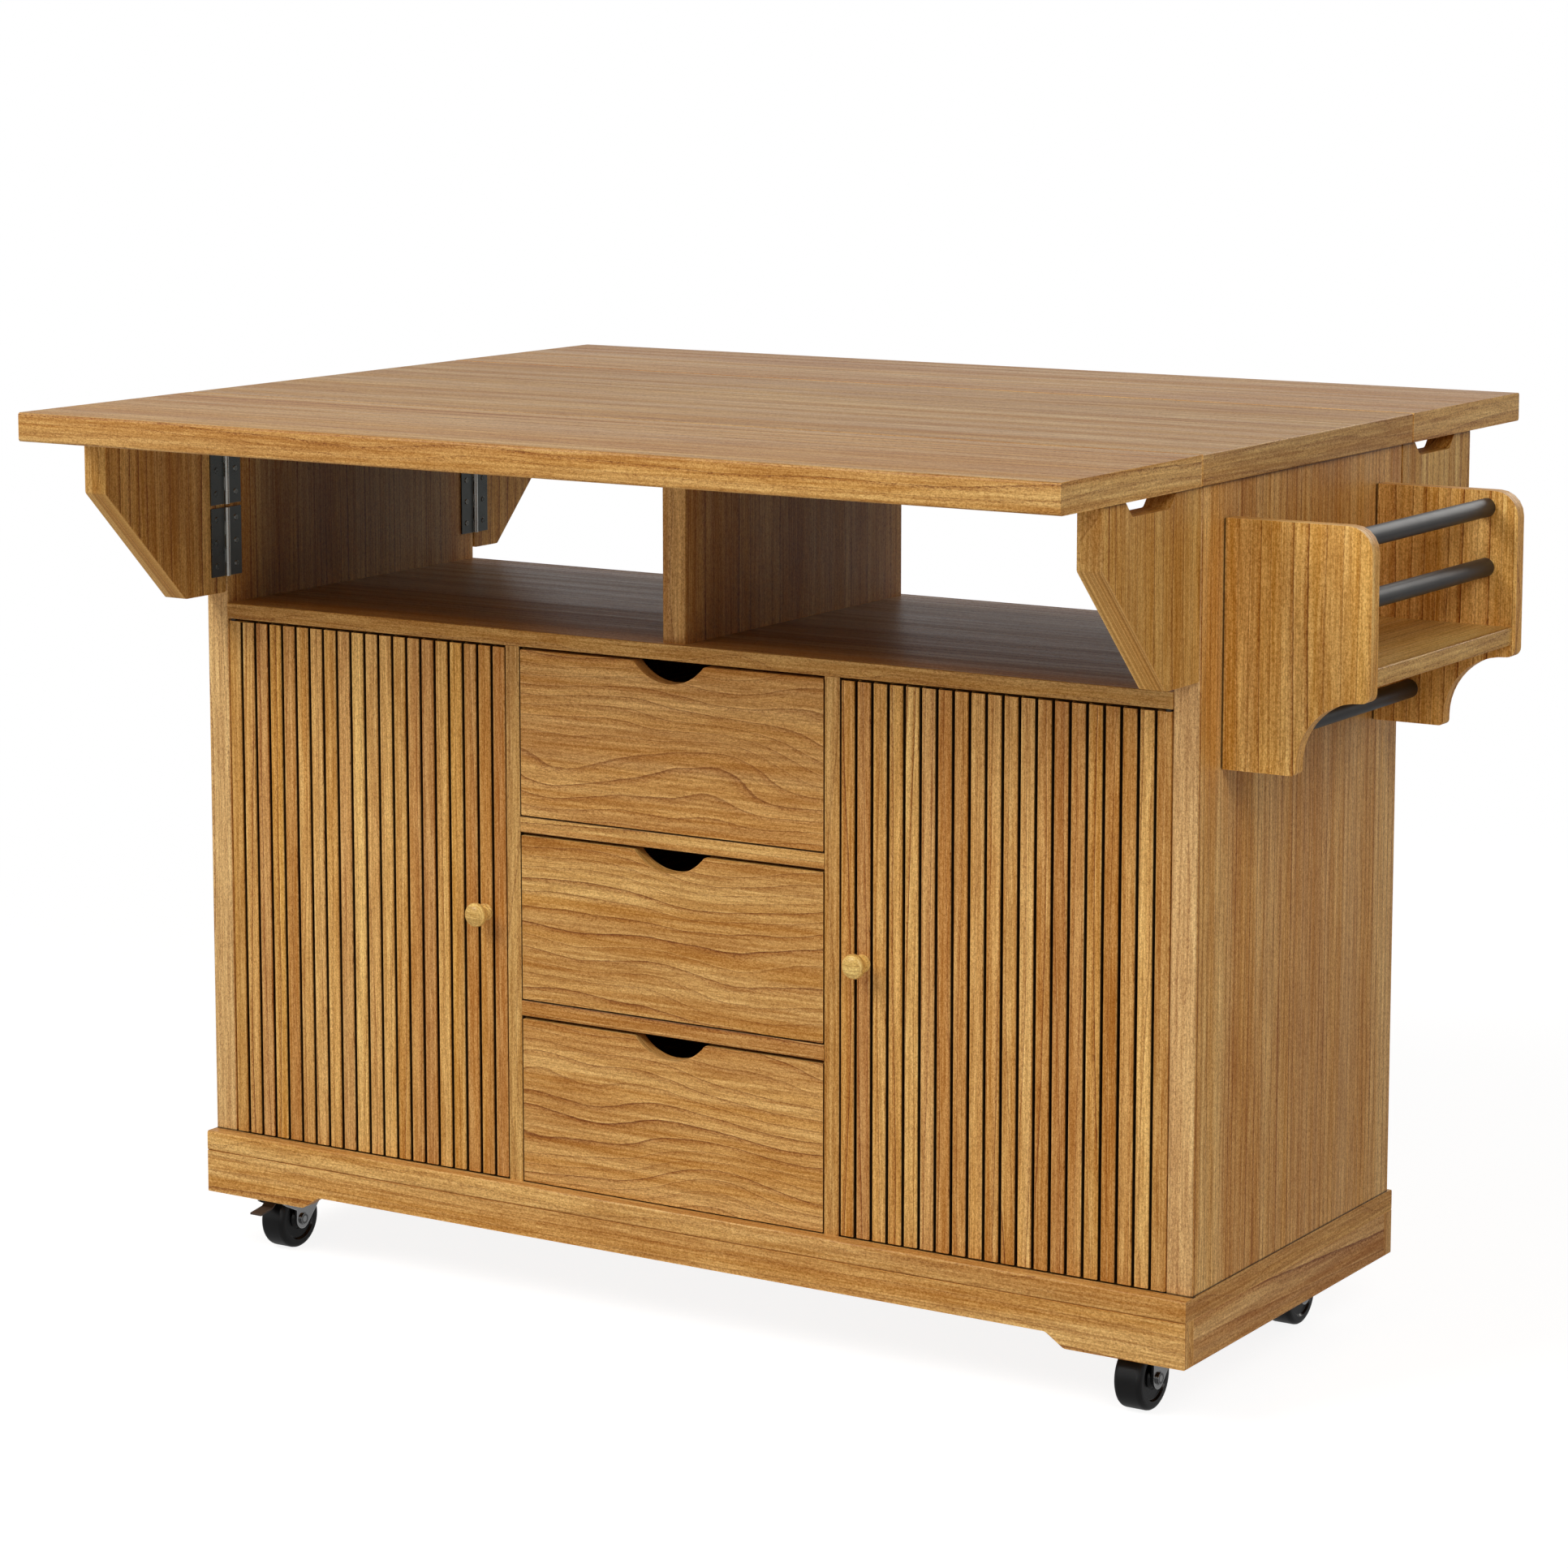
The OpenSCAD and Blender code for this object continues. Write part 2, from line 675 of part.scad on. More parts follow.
module leaf_plates(back) color(gunmetal) on_island() sided(true, back) leaf_hinge_places() {
    hinge_plate(leaf_hinge_len, false);
    hinge_screws(leaf_hinge_len, false);
}

module front_leaf_hinge_plates() leaf_plates(false);
module rear_leaf_hinge_plates() leaf_plates(true);

// ---- folding brackets ----

module notch_outline() {
    lean = (notch_w - notch_floor_w) / 2;
    polygon(rounded([
        [-notch_w / 2 - lean, notch_h, 0],
        [-notch_floor_w / 2, -notch_h, notch_r],
        [notch_floor_w / 2, -notch_h, notch_r],
        [notch_w / 2 + lean, notch_h, 0]]));
}

// The bracket at the right back corner
module bracket(length) {
    tip_y = face_y + length;
    along_x(inner_x, side_x) difference() {
        polygon(rounded([
            [face_y + bracket_root_gap, bracket_foot_z, edge_r],
            [tip_y - bracket_slope, bracket_foot_z, bracket_corner_r],
            [tip_y, bracket_top_z - bracket_tip_h, bracket_corner_r],
            [tip_y, bracket_top_z, edge_r],
            [face_y + bracket_root_gap, bracket_top_z, edge_r]]));
        translate([tip_y - notch_tip - notch_w / 2, bracket_top_z]) notch_outline();
    }
}

module placed_bracket(right, back) color(wood) on_island() sided(right, back)
    bracket(back ? rear_bracket_len : front_bracket_len);

module front_left_bracket() placed_bracket(false, false);
module front_right_bracket() placed_bracket(true, false);
module rear_left_bracket() placed_bracket(false, true);
module rear_right_bracket() placed_bracket(true, true);

module bracket_plates(right, back) color(gunmetal) on_island() sided(right, back) bracket_hinge_places() {
    hinge_plate(bracket_hinge_len, false);
    hinge_screws(bracket_hinge_len, false);
}

module front_left_bracket_plates() bracket_plates(false, false);
module front_right_bracket_plates() bracket_plates(true, false);
module rear_left_bracket_plates() bracket_plates(false, true);
module rear_right_bracket_plates() bracket_plates(true, true);

// ---- doors, drawn for the right-hand cupboard ----

// Outer edge of a slat, counted from the pivots
function slat_x(i) = door_x - i * slat_pitch;

module door() {
    front_y = -face_y;
    difference() {
        along_z(door_z, door_z + door_h) polygon(rounded([
            [door_x, front_y, door_corner_r],
            [door_x, front_y + slat_t + door_board_t, 1],
            [door_x - door_w, front_y + slat_t + door_board_t, 1],
            [door_x - door_w, front_y + slat_t, 0],
            [door_x - slat_w, front_y + slat_t, 0],
            [door_x - slat_w, front_y, slat_bevel]]));
        for (z = [door_z - 1, door_z + door_h - pivot_l])
            translate([pivot_x, pivot_y, z]) cylinder(r = pivot_r + running_fit, h = pivot_l + 1);
    }
}

module door_slats() {
    for (i = [1:slat_count - 1])
        along_z(door_z, door_z + door_h) polygon([
            [slat_x(i), -face_y + slat_bevel],
            [slat_x(i), -face_y + slat_t],
            [slat_x(i) - slat_w, -face_y + slat_t],
            [slat_x(i) - slat_w, -face_y + slat_bevel],
            [slat_x(i) - slat_w + slat_bevel, -face_y],
            [slat_x(i) - slat_bevel, -face_y]]);
}

module knob() {
    head_z = knob_rise + knob_half;
    start = asin((knob_rise + 1 - head_z) / knob_half);
    translate([slat_x(knob_slat - 1) - slat_w / 2, -face_y, door_z + door_h / 2]) rotate([90, 0, 0])
        rotate_extrude() polygon(concat(
            [[0, 0], [knob_base_r - 0.6, 0], [knob_base_r, 0.6], [knob_base_r, knob_base_h - 1]],
            [[knob_base_r - 1, knob_base_h], [knob_neck_r + 0.6, knob_base_h], [knob_neck_r, knob_base_h + 1]],
            [[knob_neck_r, knob_rise]],
            [for (a = [start:(90 - start) / 12:89.9]) [knob_r * cos(a), head_z + knob_half * sin(a)]],
            [[0, head_z + knob_half]]));
}

module left_door() color(wood) on_island() sided(false, true) door();
module left_door_slats() color(wood) on_island() sided(false, true) door_slats();
module left_door_knob() color(light_wood) on_island() sided(false, true) knob();
module right_door() color(wood) on_island() door();
module right_door_slats() color(wood) on_island() door_slats();
module right_door_knob() color(light_wood) on_island() knob();

module door_pivot_pins() color(steel) on_island()
    for (right = [false, true]) sided(right, true) translate([pivot_x, pivot_y, 0]) {
        translate([0, 0, bay_z]) {
            cylinder(r = pivot_r, h = door_foot_gap + pivot_l - 1);
            cylinder(r = washer_r, h = door_foot_gap - washer_gap);
        }
        translate([0, 0, deck_z - door_top_gap - pivot_l + 1]) cylinder(r = pivot_r, h = door_top_gap + pivot_l - 1);
        translate([0, 0, deck_z - door_top_gap + washer_gap]) cylinder(r = washer_r, h = door_top_gap - washer_gap);
    }

// ---- drawers, numbered from the bottom ----

function front_z(i) = bay_z + i * drawer_pitch + front_foot_gap;

module drawer_front(i) color(wood) on_island() {
    half_w = bay_inner_x - front_side_gap;
    z1 = front_z(i);
    z2 = z1 + front_h;
    r = (finger_w * finger_w / 4 + finger_h * finger_h) / (2 * finger_h);
    half_a = asin(finger_w / 2 / r);
    finger = [for (a = [-half_a:half_a / 9:half_a + 0.01])
        [r * sin(a), z2 + r - finger_h - r * cos(a), abs(a) > half_a - 0.1 ? finger_edge_r : 0]];
    along_y(-face_y, -face_y + front_t) polygon(rounded(concat(
        [[half_w, z1, 1], [half_w, z2, 1]],
        [for (k = [len(finger) - 1:-1:0]) finger[k]],
        [[-half_w, z2, 1], [-half_w, z1, 1]])));
}

module drawer_box(i) color(inner_wood) on_island() {
    x2 = bay_inner_x - runner_w;
    z1 = front_z(i) + box_z;
    for (right = [false, true]) sided(right, true) {
        along_y(box_front_y, box_back_y) rounded_rect(x2 - box_t, z1, x2, z1 + box_h, 1);
        runner_slide(z1 + runner_z);
    }
    along_x(box_t - x2, x2 - box_t) {
        rounded_rect(box_back_y - box_t, z1, box_back_y, z1 + box_h, 1);
        translate([box_front_y, z1 + box_floor_z]) square([box_back_y - box_t - box_front_y, box_floor_t]);
    }
}

// Sliding member of a runner: a web against the box with a bar that runs in the channel
module runner_slide(z) {
    x1 = bay_inner_x - runner_w;
    bar_x = bay_inner_x - runner_t - runner_gap;
    bar_z = z + runner_t + runner_gap;
    along_y(box_front_y, box_front_y + runner_l) {
        translate([x1, z + (runner_h - web_h) / 2]) square([bar_x - x1, web_h]);
        translate([bar_x - bar_t, bar_z]) square([bar_t, runner_h - 2 * (runner_t + runner_gap)]);
    }
}

// Fixed member of a runner: a channel on the partition
module runner_channel(z) {
    along_y(box_front_y + channel_start, box_front_y + channel_start + runner_l) difference() {
        translate([bay_inner_x - channel_w, z]) square([channel_w, runner_h]);
        translate([bay_inner_x - channel_w - 1, z + runner_t])
            square([channel_w + 1 - runner_t, runner_h - 2 * runner_t]);
    }
}

module cabinet_runners() color(steel) on_island()
    for (i = [0:2], right = [false, true]) sided(right, true)
        runner_channel(front_z(i) + box_z + runner_z);

module bottom_drawer_front() drawer_front(0);
module middle_drawer_front() drawer_front(1);
module top_drawer_front() drawer_front(2);
module bottom_drawer_box() drawer_box(0);
module middle_drawer_box() drawer_box(1);
module top_drawer_box() drawer_box(2);

// ---- side rack ----

module rack_side_outline() {
    polygon(rounded(concat(
        [[0, rack_foot_z, 2], [rack_lower_w, rack_foot_z, rack_foot_r]],
        [for (a = [0:7.5:90])
            [rack_curve_x - rack_curve_r * cos(a), rack_step_z - rack_curve_r * (1 - sin(a)), 0]],
        [[rack_reach, rack_step_z, rack_lip_r], [rack_reach, rack_top_z, rack_corner_r], [0, rack_top_z, 2]])));
}

module rack_side(y) color(wood) on_island() translate([side_x, 0, 0])
    along_y(y, y + rack_side_t) rack_side_outline();

module rack_front_side() rack_side(-rack_outer_y);
module rack_rear_side() rack_side(rack_inner_y);

module rack_shelf() color(wood) on_island() translate([side_x, 0, 0])
    along_y(-rack_inner_y, rack_inner_y)
        rounded_rect(0, rack_step_z + rack_shelf_z, rack_reach - rack_shelf_back,
            rack_step_z + rack_shelf_z + rack_shelf_t, 1.5);

module rack_rod(x, z) {
    translate([side_x + x, -rack_inner_y, z]) rotate([-90, 0, 0]) cylinder(r = rod_r, h = 2 * rack_inner_y);
}

module rack_rods() color(black) on_island() {
    rack_rod(rack_reach - rod_edge, rack_top_z - upper_rod_z);
    rack_rod(rack_reach - rod_edge, rack_top_z - lower_rod_z);
    rack_rod(towel_bar_x, rack_foot_z + towel_bar_z);
}

// ---- casters, each drawn about its upright pivot with the wheel towards the front ----

module caster_plates() color(steel) on_island() caster_places() {
    half = caster_plate_w / 2;
    crown_z = fork_z - fork_t;
    along_z(caster_plate_z, caster_block_z) rounded_rect(-half, -half, half, half, 4);
    translate([0, 0, caster_plate_z - race_h]) cylinder(r = race_r, h = race_h);
    translate([0, 0, crown_z - race_gap - 1]) cylinder(r = kingpin_r, h = caster_plate_z - crown_z + race_gap + 1);
    translate([0, 0, crown_z - race_gap - kingpin_head_h]) cylinder(r = kingpin_head_r, h = kingpin_head_h);
}

module fork_arm(brake) {
    crown_z = fork_z - fork_t;
    along_x(fork_x, fork_x + fork_t) difference() {
        union() {
            hull() {
                translate([-caster_trail, wheel_r]) circle(r = fork_foot_r, $fn = 48);
                translate([-fork_front, crown_z - 1]) square([fork_front + fork_back, 2]);
            }
            if (brake) hull() {
                translate([-brake_y, brake_z]) circle(r = brake_ear_r, $fn = 32);
                translate([-fork_front, brake_z + brake_ear_r - brake_ear_root]) square([1, brake_ear_root]);
            }
        }
        translate([-caster_trail, wheel_r]) circle(r = axle_r + running_fit);
        if (brake) translate([-brake_y, brake_z]) circle(r = brake_pin_r + running_fit);
    }
}

module cross_pin(y, z, r, head_r, head_h) {
    reach = fork_x + fork_t;
    translate([-reach, y, z]) rotate([0, 90, 0]) cylinder(r = r, h = 2 * reach);
    for (x = [-reach - head_h, reach]) translate([x, y, z]) rotate([0, 90, 0]) cylinder(r = head_r, h = head_h);
}

module fork(brake) {
    reach = fork_x + fork_t;
    difference() {
        union() {
            along_z(fork_z - fork_t, fork_z) rounded_rect(-reach, -fork_front, reach, fork_back, 1.5);
            fork_arm(brake);
            mirror([1, 0, 0]) fork_arm(brake);
        }
        translate([0, 0, fork_z - fork_t - 1]) cylinder(r = kingpin_r + running_fit, h = fork_t + 2);
    }
    cross_pin(-caster_trail, wheel_r, axle_r, nut_r, nut_h);
    if (brake) cross_pin(-brake_y, brake_z, brake_pin_r, brake_pin_head_r, 1);
}

module wheel() {
    half = wheel_w / 2;
    rim_r = wheel_r - tyre_w;
    translate([-half, -caster_trail, wheel_r]) rotate([0, 90, 0]) rotate_extrude() polygon(rounded([
        [axle_r + running_fit, 0, 0],
        [hub_r, 0, 1],
        [hub_r + wheel_dish, wheel_dish, 1],
        [rim_r - 2, wheel_dish, 1],
        [rim_r, 1, 0.5],
        [wheel_r, 1, wheel_round],
        [wheel_r, wheel_w - 1, wheel_round],
        [rim_r, wheel_w - 1, 0.5],
        [rim_r - 2, wheel_w - wheel_dish, 1],
        [hub_r + wheel_dish, wheel_w - wheel_dish, 1],
        [hub_r, wheel_w, 1],
        [axle_r + running_fit, wheel_w, 0]], 4));
}

module brake() {
    barrel_w = 2 * (fork_x - hub_gap);
    top_z = brake_z + brake_barrel_r;
    bend_y = pedal_flat - pedal_reach;
    bend_z = top_z - pedal_drop;
    tip_z = bend_z - pedal_tip_drop;
    difference() {
        union() {
            translate([-barrel_w / 2, -brake_y, brake_z]) rotate([0, 90, 0])
                cylinder(r = brake_barrel_r, h = barrel_w);
            along_x(-pedal_w / 2, pedal_w / 2) polygon([
                [-brake_y, top_z - pedal_t],
                [-brake_y, top_z - 0.2],
                [bend_y, bend_z],
                [-pedal_reach, tip_z],
                [-pedal_reach, tip_z - pedal_t],
                [bend_y, bend_z - pedal_t]]);
        }
        translate([-barrel_w, -brake_y, brake_z]) rotate([0, 90, 0])
            cylinder(r = brake_pin_r + running_fit, h = 2 * barrel_w);
    }
}

module caster_at(right, back) {
    translate([(right ? 1 : -1) * (side_x - caster_x), (back ? 1 : -1) * (face_y - caster_y), 0]) children();
}

module front_left_fork() color(steel) on_island() caster_at(false, false) fork(true);
module front_right_fork() color(steel) on_island() caster_at(true, false) fork(false);
module rear_left_fork() color(steel) on_island() caster_at(false, true) fork(false);
module rear_right_fork() color(steel) on_island() caster_at(true, true) fork(true);
module front_left_wheel() color(black) on_island() caster_at(false, false) wheel();
module front_right_wheel() color(black) on_island() caster_at(true, false) wheel();
module rear_left_wheel() color(black) on_island() caster_at(false, true) wheel();
module rear_right_wheel() color(black) on_island() caster_at(true, true) wheel();
module front_left_brake() color(black) on_island() caster_at(false, false) brake();
module rear_right_brake() color(black) on_island() caster_at(true, true) brake();

left_side_panel();
right_side_panel();
base_panel();
plinth_front();
plinth_back();
plinth_ends();
caster_blocks();
compartment_shelf();
compartment_divider();
left_partition();
right_partition();
drawer_rails();
back_panel();
cupboard_shelves();
shelf_pins();
centre_top();
rack_front_side();
rack_rear_side();
rack_shelf();
rack_rods();
fixed_hinge_plates();
hinge_pins();
fixed_hinge_screws();
cabinet_runners();
door_pivot_pins();
caster_plates();
front_leaf();
front_leaf_hinge_plates();
rear_leaf();
rear_leaf_hinge_plates();
front_left_bracket();
front_right_bracket();
rear_left_bracket();
rear_right_bracket();
front_left_bracket_plates();
front_right_bracket_plates();
rear_left_bracket_plates();
rear_right_bracket_plates();
left_door();
left_door_slats();
left_door_knob();
right_door();
right_door_slats();
right_door_knob();
top_drawer_front();
top_drawer_box();
middle_drawer_front();
middle_drawer_box();
bottom_drawer_front();
bottom_drawer_box();
front_left_fork();
front_right_fork();
rear_left_fork();
rear_right_fork();
front_left_wheel();
front_right_wheel();
rear_left_wheel();
rear_right_wheel();
front_left_brake();
rear_right_brake();
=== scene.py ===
import math

import bpy
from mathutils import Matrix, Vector


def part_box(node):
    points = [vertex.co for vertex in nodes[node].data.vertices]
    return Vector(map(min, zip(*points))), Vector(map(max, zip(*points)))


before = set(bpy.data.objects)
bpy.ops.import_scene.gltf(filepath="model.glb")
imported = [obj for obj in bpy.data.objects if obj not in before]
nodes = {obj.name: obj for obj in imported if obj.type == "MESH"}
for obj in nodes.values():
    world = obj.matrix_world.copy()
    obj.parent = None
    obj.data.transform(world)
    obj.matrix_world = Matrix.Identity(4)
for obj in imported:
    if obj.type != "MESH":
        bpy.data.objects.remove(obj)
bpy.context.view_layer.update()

scene = bpy.context.scene
scene.view_settings.view_transform = "Standard"
MM = 0.001


def rgb(red, green, blue):
    """A colour given as 0 to 255 on a screen, as shader values."""
    def one(value):
        value /= 255
        return value / 12.92 if value <= 0.04045 else ((value + 0.055) / 1.055) ** 2.4
    return (one(red), one(green), one(blue), 1.0)


BLACK, WHITE = rgb(0, 0, 0), rgb(255, 255, 255)


# ---- shader graphs ----

class Graph:
    """The node tree of a material or world, with a short call for each kind of shader node."""

    def __init__(self, owner):
        owner.use_nodes = True
        self.owner = owner
        self.tree = owner.node_tree
        self.tree.nodes.clear()

    def put(self, socket, value):
        if isinstance(value, bpy.types.NodeSocket):
            self.tree.links.new(value, socket)
        else:
            socket.default_value = value

    def add(self, kind, inputs=None, **settings):
        """A new node, with a value or another node's socket on each of its inputs."""
        node = self.tree.nodes.new(kind)
        for key, value in settings.items():
            setattr(node, key, value)
        for key, value in (inputs or {}).items():
            self.put(node.inputs[key], value)
        return node

    def calc(self, operation, *values):
        node = self.add("ShaderNodeMath", operation=operation)
        for socket, value in zip(node.inputs, values):
            self.put(socket, value)
        return node.outputs[0]

    def times(self, product, *factors):
        for factor in factors:
            product = self.calc("MULTIPLY", product, factor)
        return product

    def scaled(self, value, low, high):
        """A value from 0 to 1 stretched over low to high."""
        return self.calc("MULTIPLY_ADD", value, high - low, low)

    def step(self, value, low, high):
        """0 at low, 1 at high and smooth between them. Low may lie above high."""
        node = self.add("ShaderNodeMapRange", {"Value": value, "From Min": low, "From Max": high},
                        interpolation_type="SMOOTHSTEP")
        return node.outputs[0]

    def away(self, value, centre):
        """How far a value is from a centre, on either side."""
        return self.calc("ABSOLUTE", self.calc("SUBTRACT", value, centre))

    def distance(self, first, second):
        """The length of the way that two offsets at right angles make."""
        return self.calc("SQRT", self.calc("ADD", self.times(first, first), self.times(second, second)))

    def chance(self, seed):
        """The outputs of a node that gives a number and a colour by chance, the same for the same seed."""
        return self.add("ShaderNodeTexWhiteNoise", {"W": seed}, noise_dimensions="1D").outputs

    def vector(self, x, y, z):
        return self.add("ShaderNodeCombineXYZ", {"X": x, "Y": y, "Z": z}).outputs[0]

    def noise(self, vector, scale, detail, roughness):
        node = self.add("ShaderNodeTexNoise", {"Vector": vector, "Scale": scale, "Detail": detail,
                                               "Roughness": roughness})
        return node.outputs[0]

    def mix(self, factor, first, second):
        """A colour between two, kept within them where the factor leaves 0 to 1."""
        node = self.add("ShaderNodeMix", data_type="RGBA")
        self.put(node.inputs[0], factor)
        self.put(node.inputs[6], first)
        self.put(node.inputs[7], second)
        return node.outputs[2]

    def tinted(self, colour, value, hue=0.5, saturation=1.0):
        node = self.add("ShaderNodeHueSaturation", {"Color": colour, "Value": value, "Hue": hue,
                                                    "Saturation": saturation})
        return node.outputs[0]

    def coordinate(self, output):
        """The x, y and z sockets of a texture coordinate."""
        whole = self.add("ShaderNodeTexCoord").outputs[output]
        return dict(zip("xyz", self.add("ShaderNodeSeparateXYZ", {"Vector": whole}).outputs))

    def place(self):
        """Where a point is at rest, in the row frame."""
        return self.coordinate("Object")

    def edge(self, radius):
        """Near 1 on an edge and 0 on a flat face."""
        soft = self.add("ShaderNodeBevel", {"Radius": radius}, samples=4).outputs[0]
        sharp = self.add("ShaderNodeNewGeometry").outputs["Normal"]
        dot = self.add("ShaderNodeVectorMath", {0: soft, 1: sharp}, operation="DOT_PRODUCT")
        return self.step(dot.outputs["Value"], 0.995, 0.93)

    def between(self, factor, first, second):
        """A shader between two."""
        return self.add("ShaderNodeMixShader", {0: factor, 1: first.outputs[0], 2: second.outputs[0]})

    def finish(self, height, depth, strength, **surface):
        """Ends a material with a surface that height makes uneven by up to depth, and gives the material."""
        shader = self.add("ShaderNodeBsdfPrincipled")
        for key, value in surface.items():
            self.put(shader.inputs[key.replace("_", " ")], value)
        bump = self.add("ShaderNodeBump", {"Height": height, "Distance": depth, "Strength": strength})
        self.put(shader.inputs["Normal"], bump.outputs[0])
        self.add("ShaderNodeOutputMaterial", {"Surface": shader.outputs[0]})
        return self.owner


# ---- wood ----

OAK = {"pale": rgb(229, 181, 112), "mid": rgb(208, 148, 73), "deep": rgb(170, 100, 39),
       "line": rgb(108, 48, 16), "cream": rgb(218, 182, 130)}
PINE = {"pale": rgb(242, 208, 132), "mid": rgb(228, 186, 104), "deep": rgb(204, 152, 74),
        "line": rgb(160, 104, 44)}

# how strongly each part of the grain colours the wood
BANDS = 0.42
FINE_RINGS = 0.22
RING_SHADOW = 0.88
RING_LINE = 0.90
RING_SHEEN = 0.65
PORES = 0.60
EDGE_LINES = 0.5  # how strong the rings are on a board's edges, as a share of its faces

# how bright the wood is at the least and at the most of each kind of unevenness, and on its edges
FIBRES = (0.82, 1.17)
STIPPLE = (1.11, 0.89)
SAND = (0.87, 1.13)
PATCHES = (0.88, 1.12)
# on rounded edges: wear, and a painted highlight
EDGE_WEAR_AND_HIGHLIGHT = 1.16
# on a board's edge faces: a painted light
LIT_BOARD_EDGE = 1.04

RIPPLE = 0.28  # how far the small waves move a ring, in rings
FRAY = 0.05  # how far the fibres move a ring, in rings
RED_BOARDS = 0.42  # how deep the deepest of several boards is
PALE_BOARDS = 0.60  # how pale the palest is

# the hue, where 0.5 leaves a colour as it is and more is yellower
HUE = 0.502
HUE_BY_BOARD = 0.004
HUES_OF_SET = (0.500, 0.511)
YELLOWER_LIGHT = 0.034  # how much yellower the bright grain is than the dark
PALER_LIGHT = 0.24  # how much paler in colour the bright grain is than the dark


class WoodGraph(Graph):
    """A veneered board's graph. u runs along the grain and v across the growth rings. A board's edges carry
    strips of their own, with the grain along them."""

    def __init__(self, name, along, across, seed, boards):
        super().__init__(bpy.data.materials.new(name))
        self.seed = seed
        self.axes = self.place()
        other = next(axis for axis in "xyz" if axis not in (along, across))
        self.flat = self.step(self.calc("ABSOLUTE", self.coordinate("Normal")[other]), 0.80, 0.84)
        shift_u, shift_v, self.shade, self.heat = self.cut(boards)
        slanted = self.calc("ADD", self.axes[along], self.axes[across])
        self.u = self.calc("ADD", self.either(self.axes[along], slanted), shift_u)
        self.v = self.calc("ADD", self.either(self.axes[across], self.axes[other]), shift_v)

    def cut(self, boards):
        """Where in the veneer a board is cut, in u and v, and how bright and how red it is, from 0 to 1."""
        if not boards:
            return self.seed * 3.17, self.seed * 1.93, (self.seed * 0.377) % 1.0, (self.seed * 0.619) % 1.0
        axis, start, pitch = boards
        index = self.calc("FLOOR", self.calc("DIVIDE", self.calc("SUBTRACT", self.axes[axis], start), pitch))
        chance = self.chance(self.calc("ADD", index, self.seed * 17.31))
        parts = self.add("ShaderNodeSeparateColor", {"Color": chance["Color"]}).outputs
        return self.times(parts[0], 9.0), self.times(parts[1], 5.0), parts[2], chance["Value"]

    def either(self, face, edge):
        """face on the board's two faces, edge on its edges"""
        return self.calc("ADD", edge, self.times(self.flat, self.calc("SUBTRACT", face, edge)))

    def pattern(self, often_u, often_v, detail, roughness, layer=0.0):
        """Noise that repeats about often_u and often_v times a metre. Each layer is another noise."""
        return self.noise(self.vector(self.times(self.u, often_u), self.times(self.v, often_v), layer),
                          1.0, detail, roughness)

    def rings(self, spacing, hills):
        """How many rings lie up to here: a field that rises across the board and wanders along it."""
        often_u, often_v, sway = hills
        wander = self.pattern(self.either(often_u, often_u * 8), often_v, 1.0, 0.35)
        wobble = self.pattern(self.either(often_u * 5, often_u * 15), often_v * 3, 1.0, 0.5, 3.3)
        fray = self.pattern(110.0, 420.0, 0.0, 0.5, 7.7)
        field = self.calc("MULTIPLY_ADD", wander, sway * 2, self.calc("DIVIDE", self.v, spacing))
        field = self.calc("MULTIPLY_ADD", wobble, RIPPLE, field)
        return self.calc("MULTIPLY_ADD", fray, FRAY, field)

    def shading(self, shades):
        """One level of brightness for each of shades, which wood() explains."""
        for tests, level in shades:
            inside = 1.0
            for axis, centre, start, end in tests:
                where = self.axes[axis] if centre is None else self.away(self.axes[axis], centre)
                inside = self.times(inside, self.step(where, start, end))
            yield self.scaled(inside, 1.0, level)


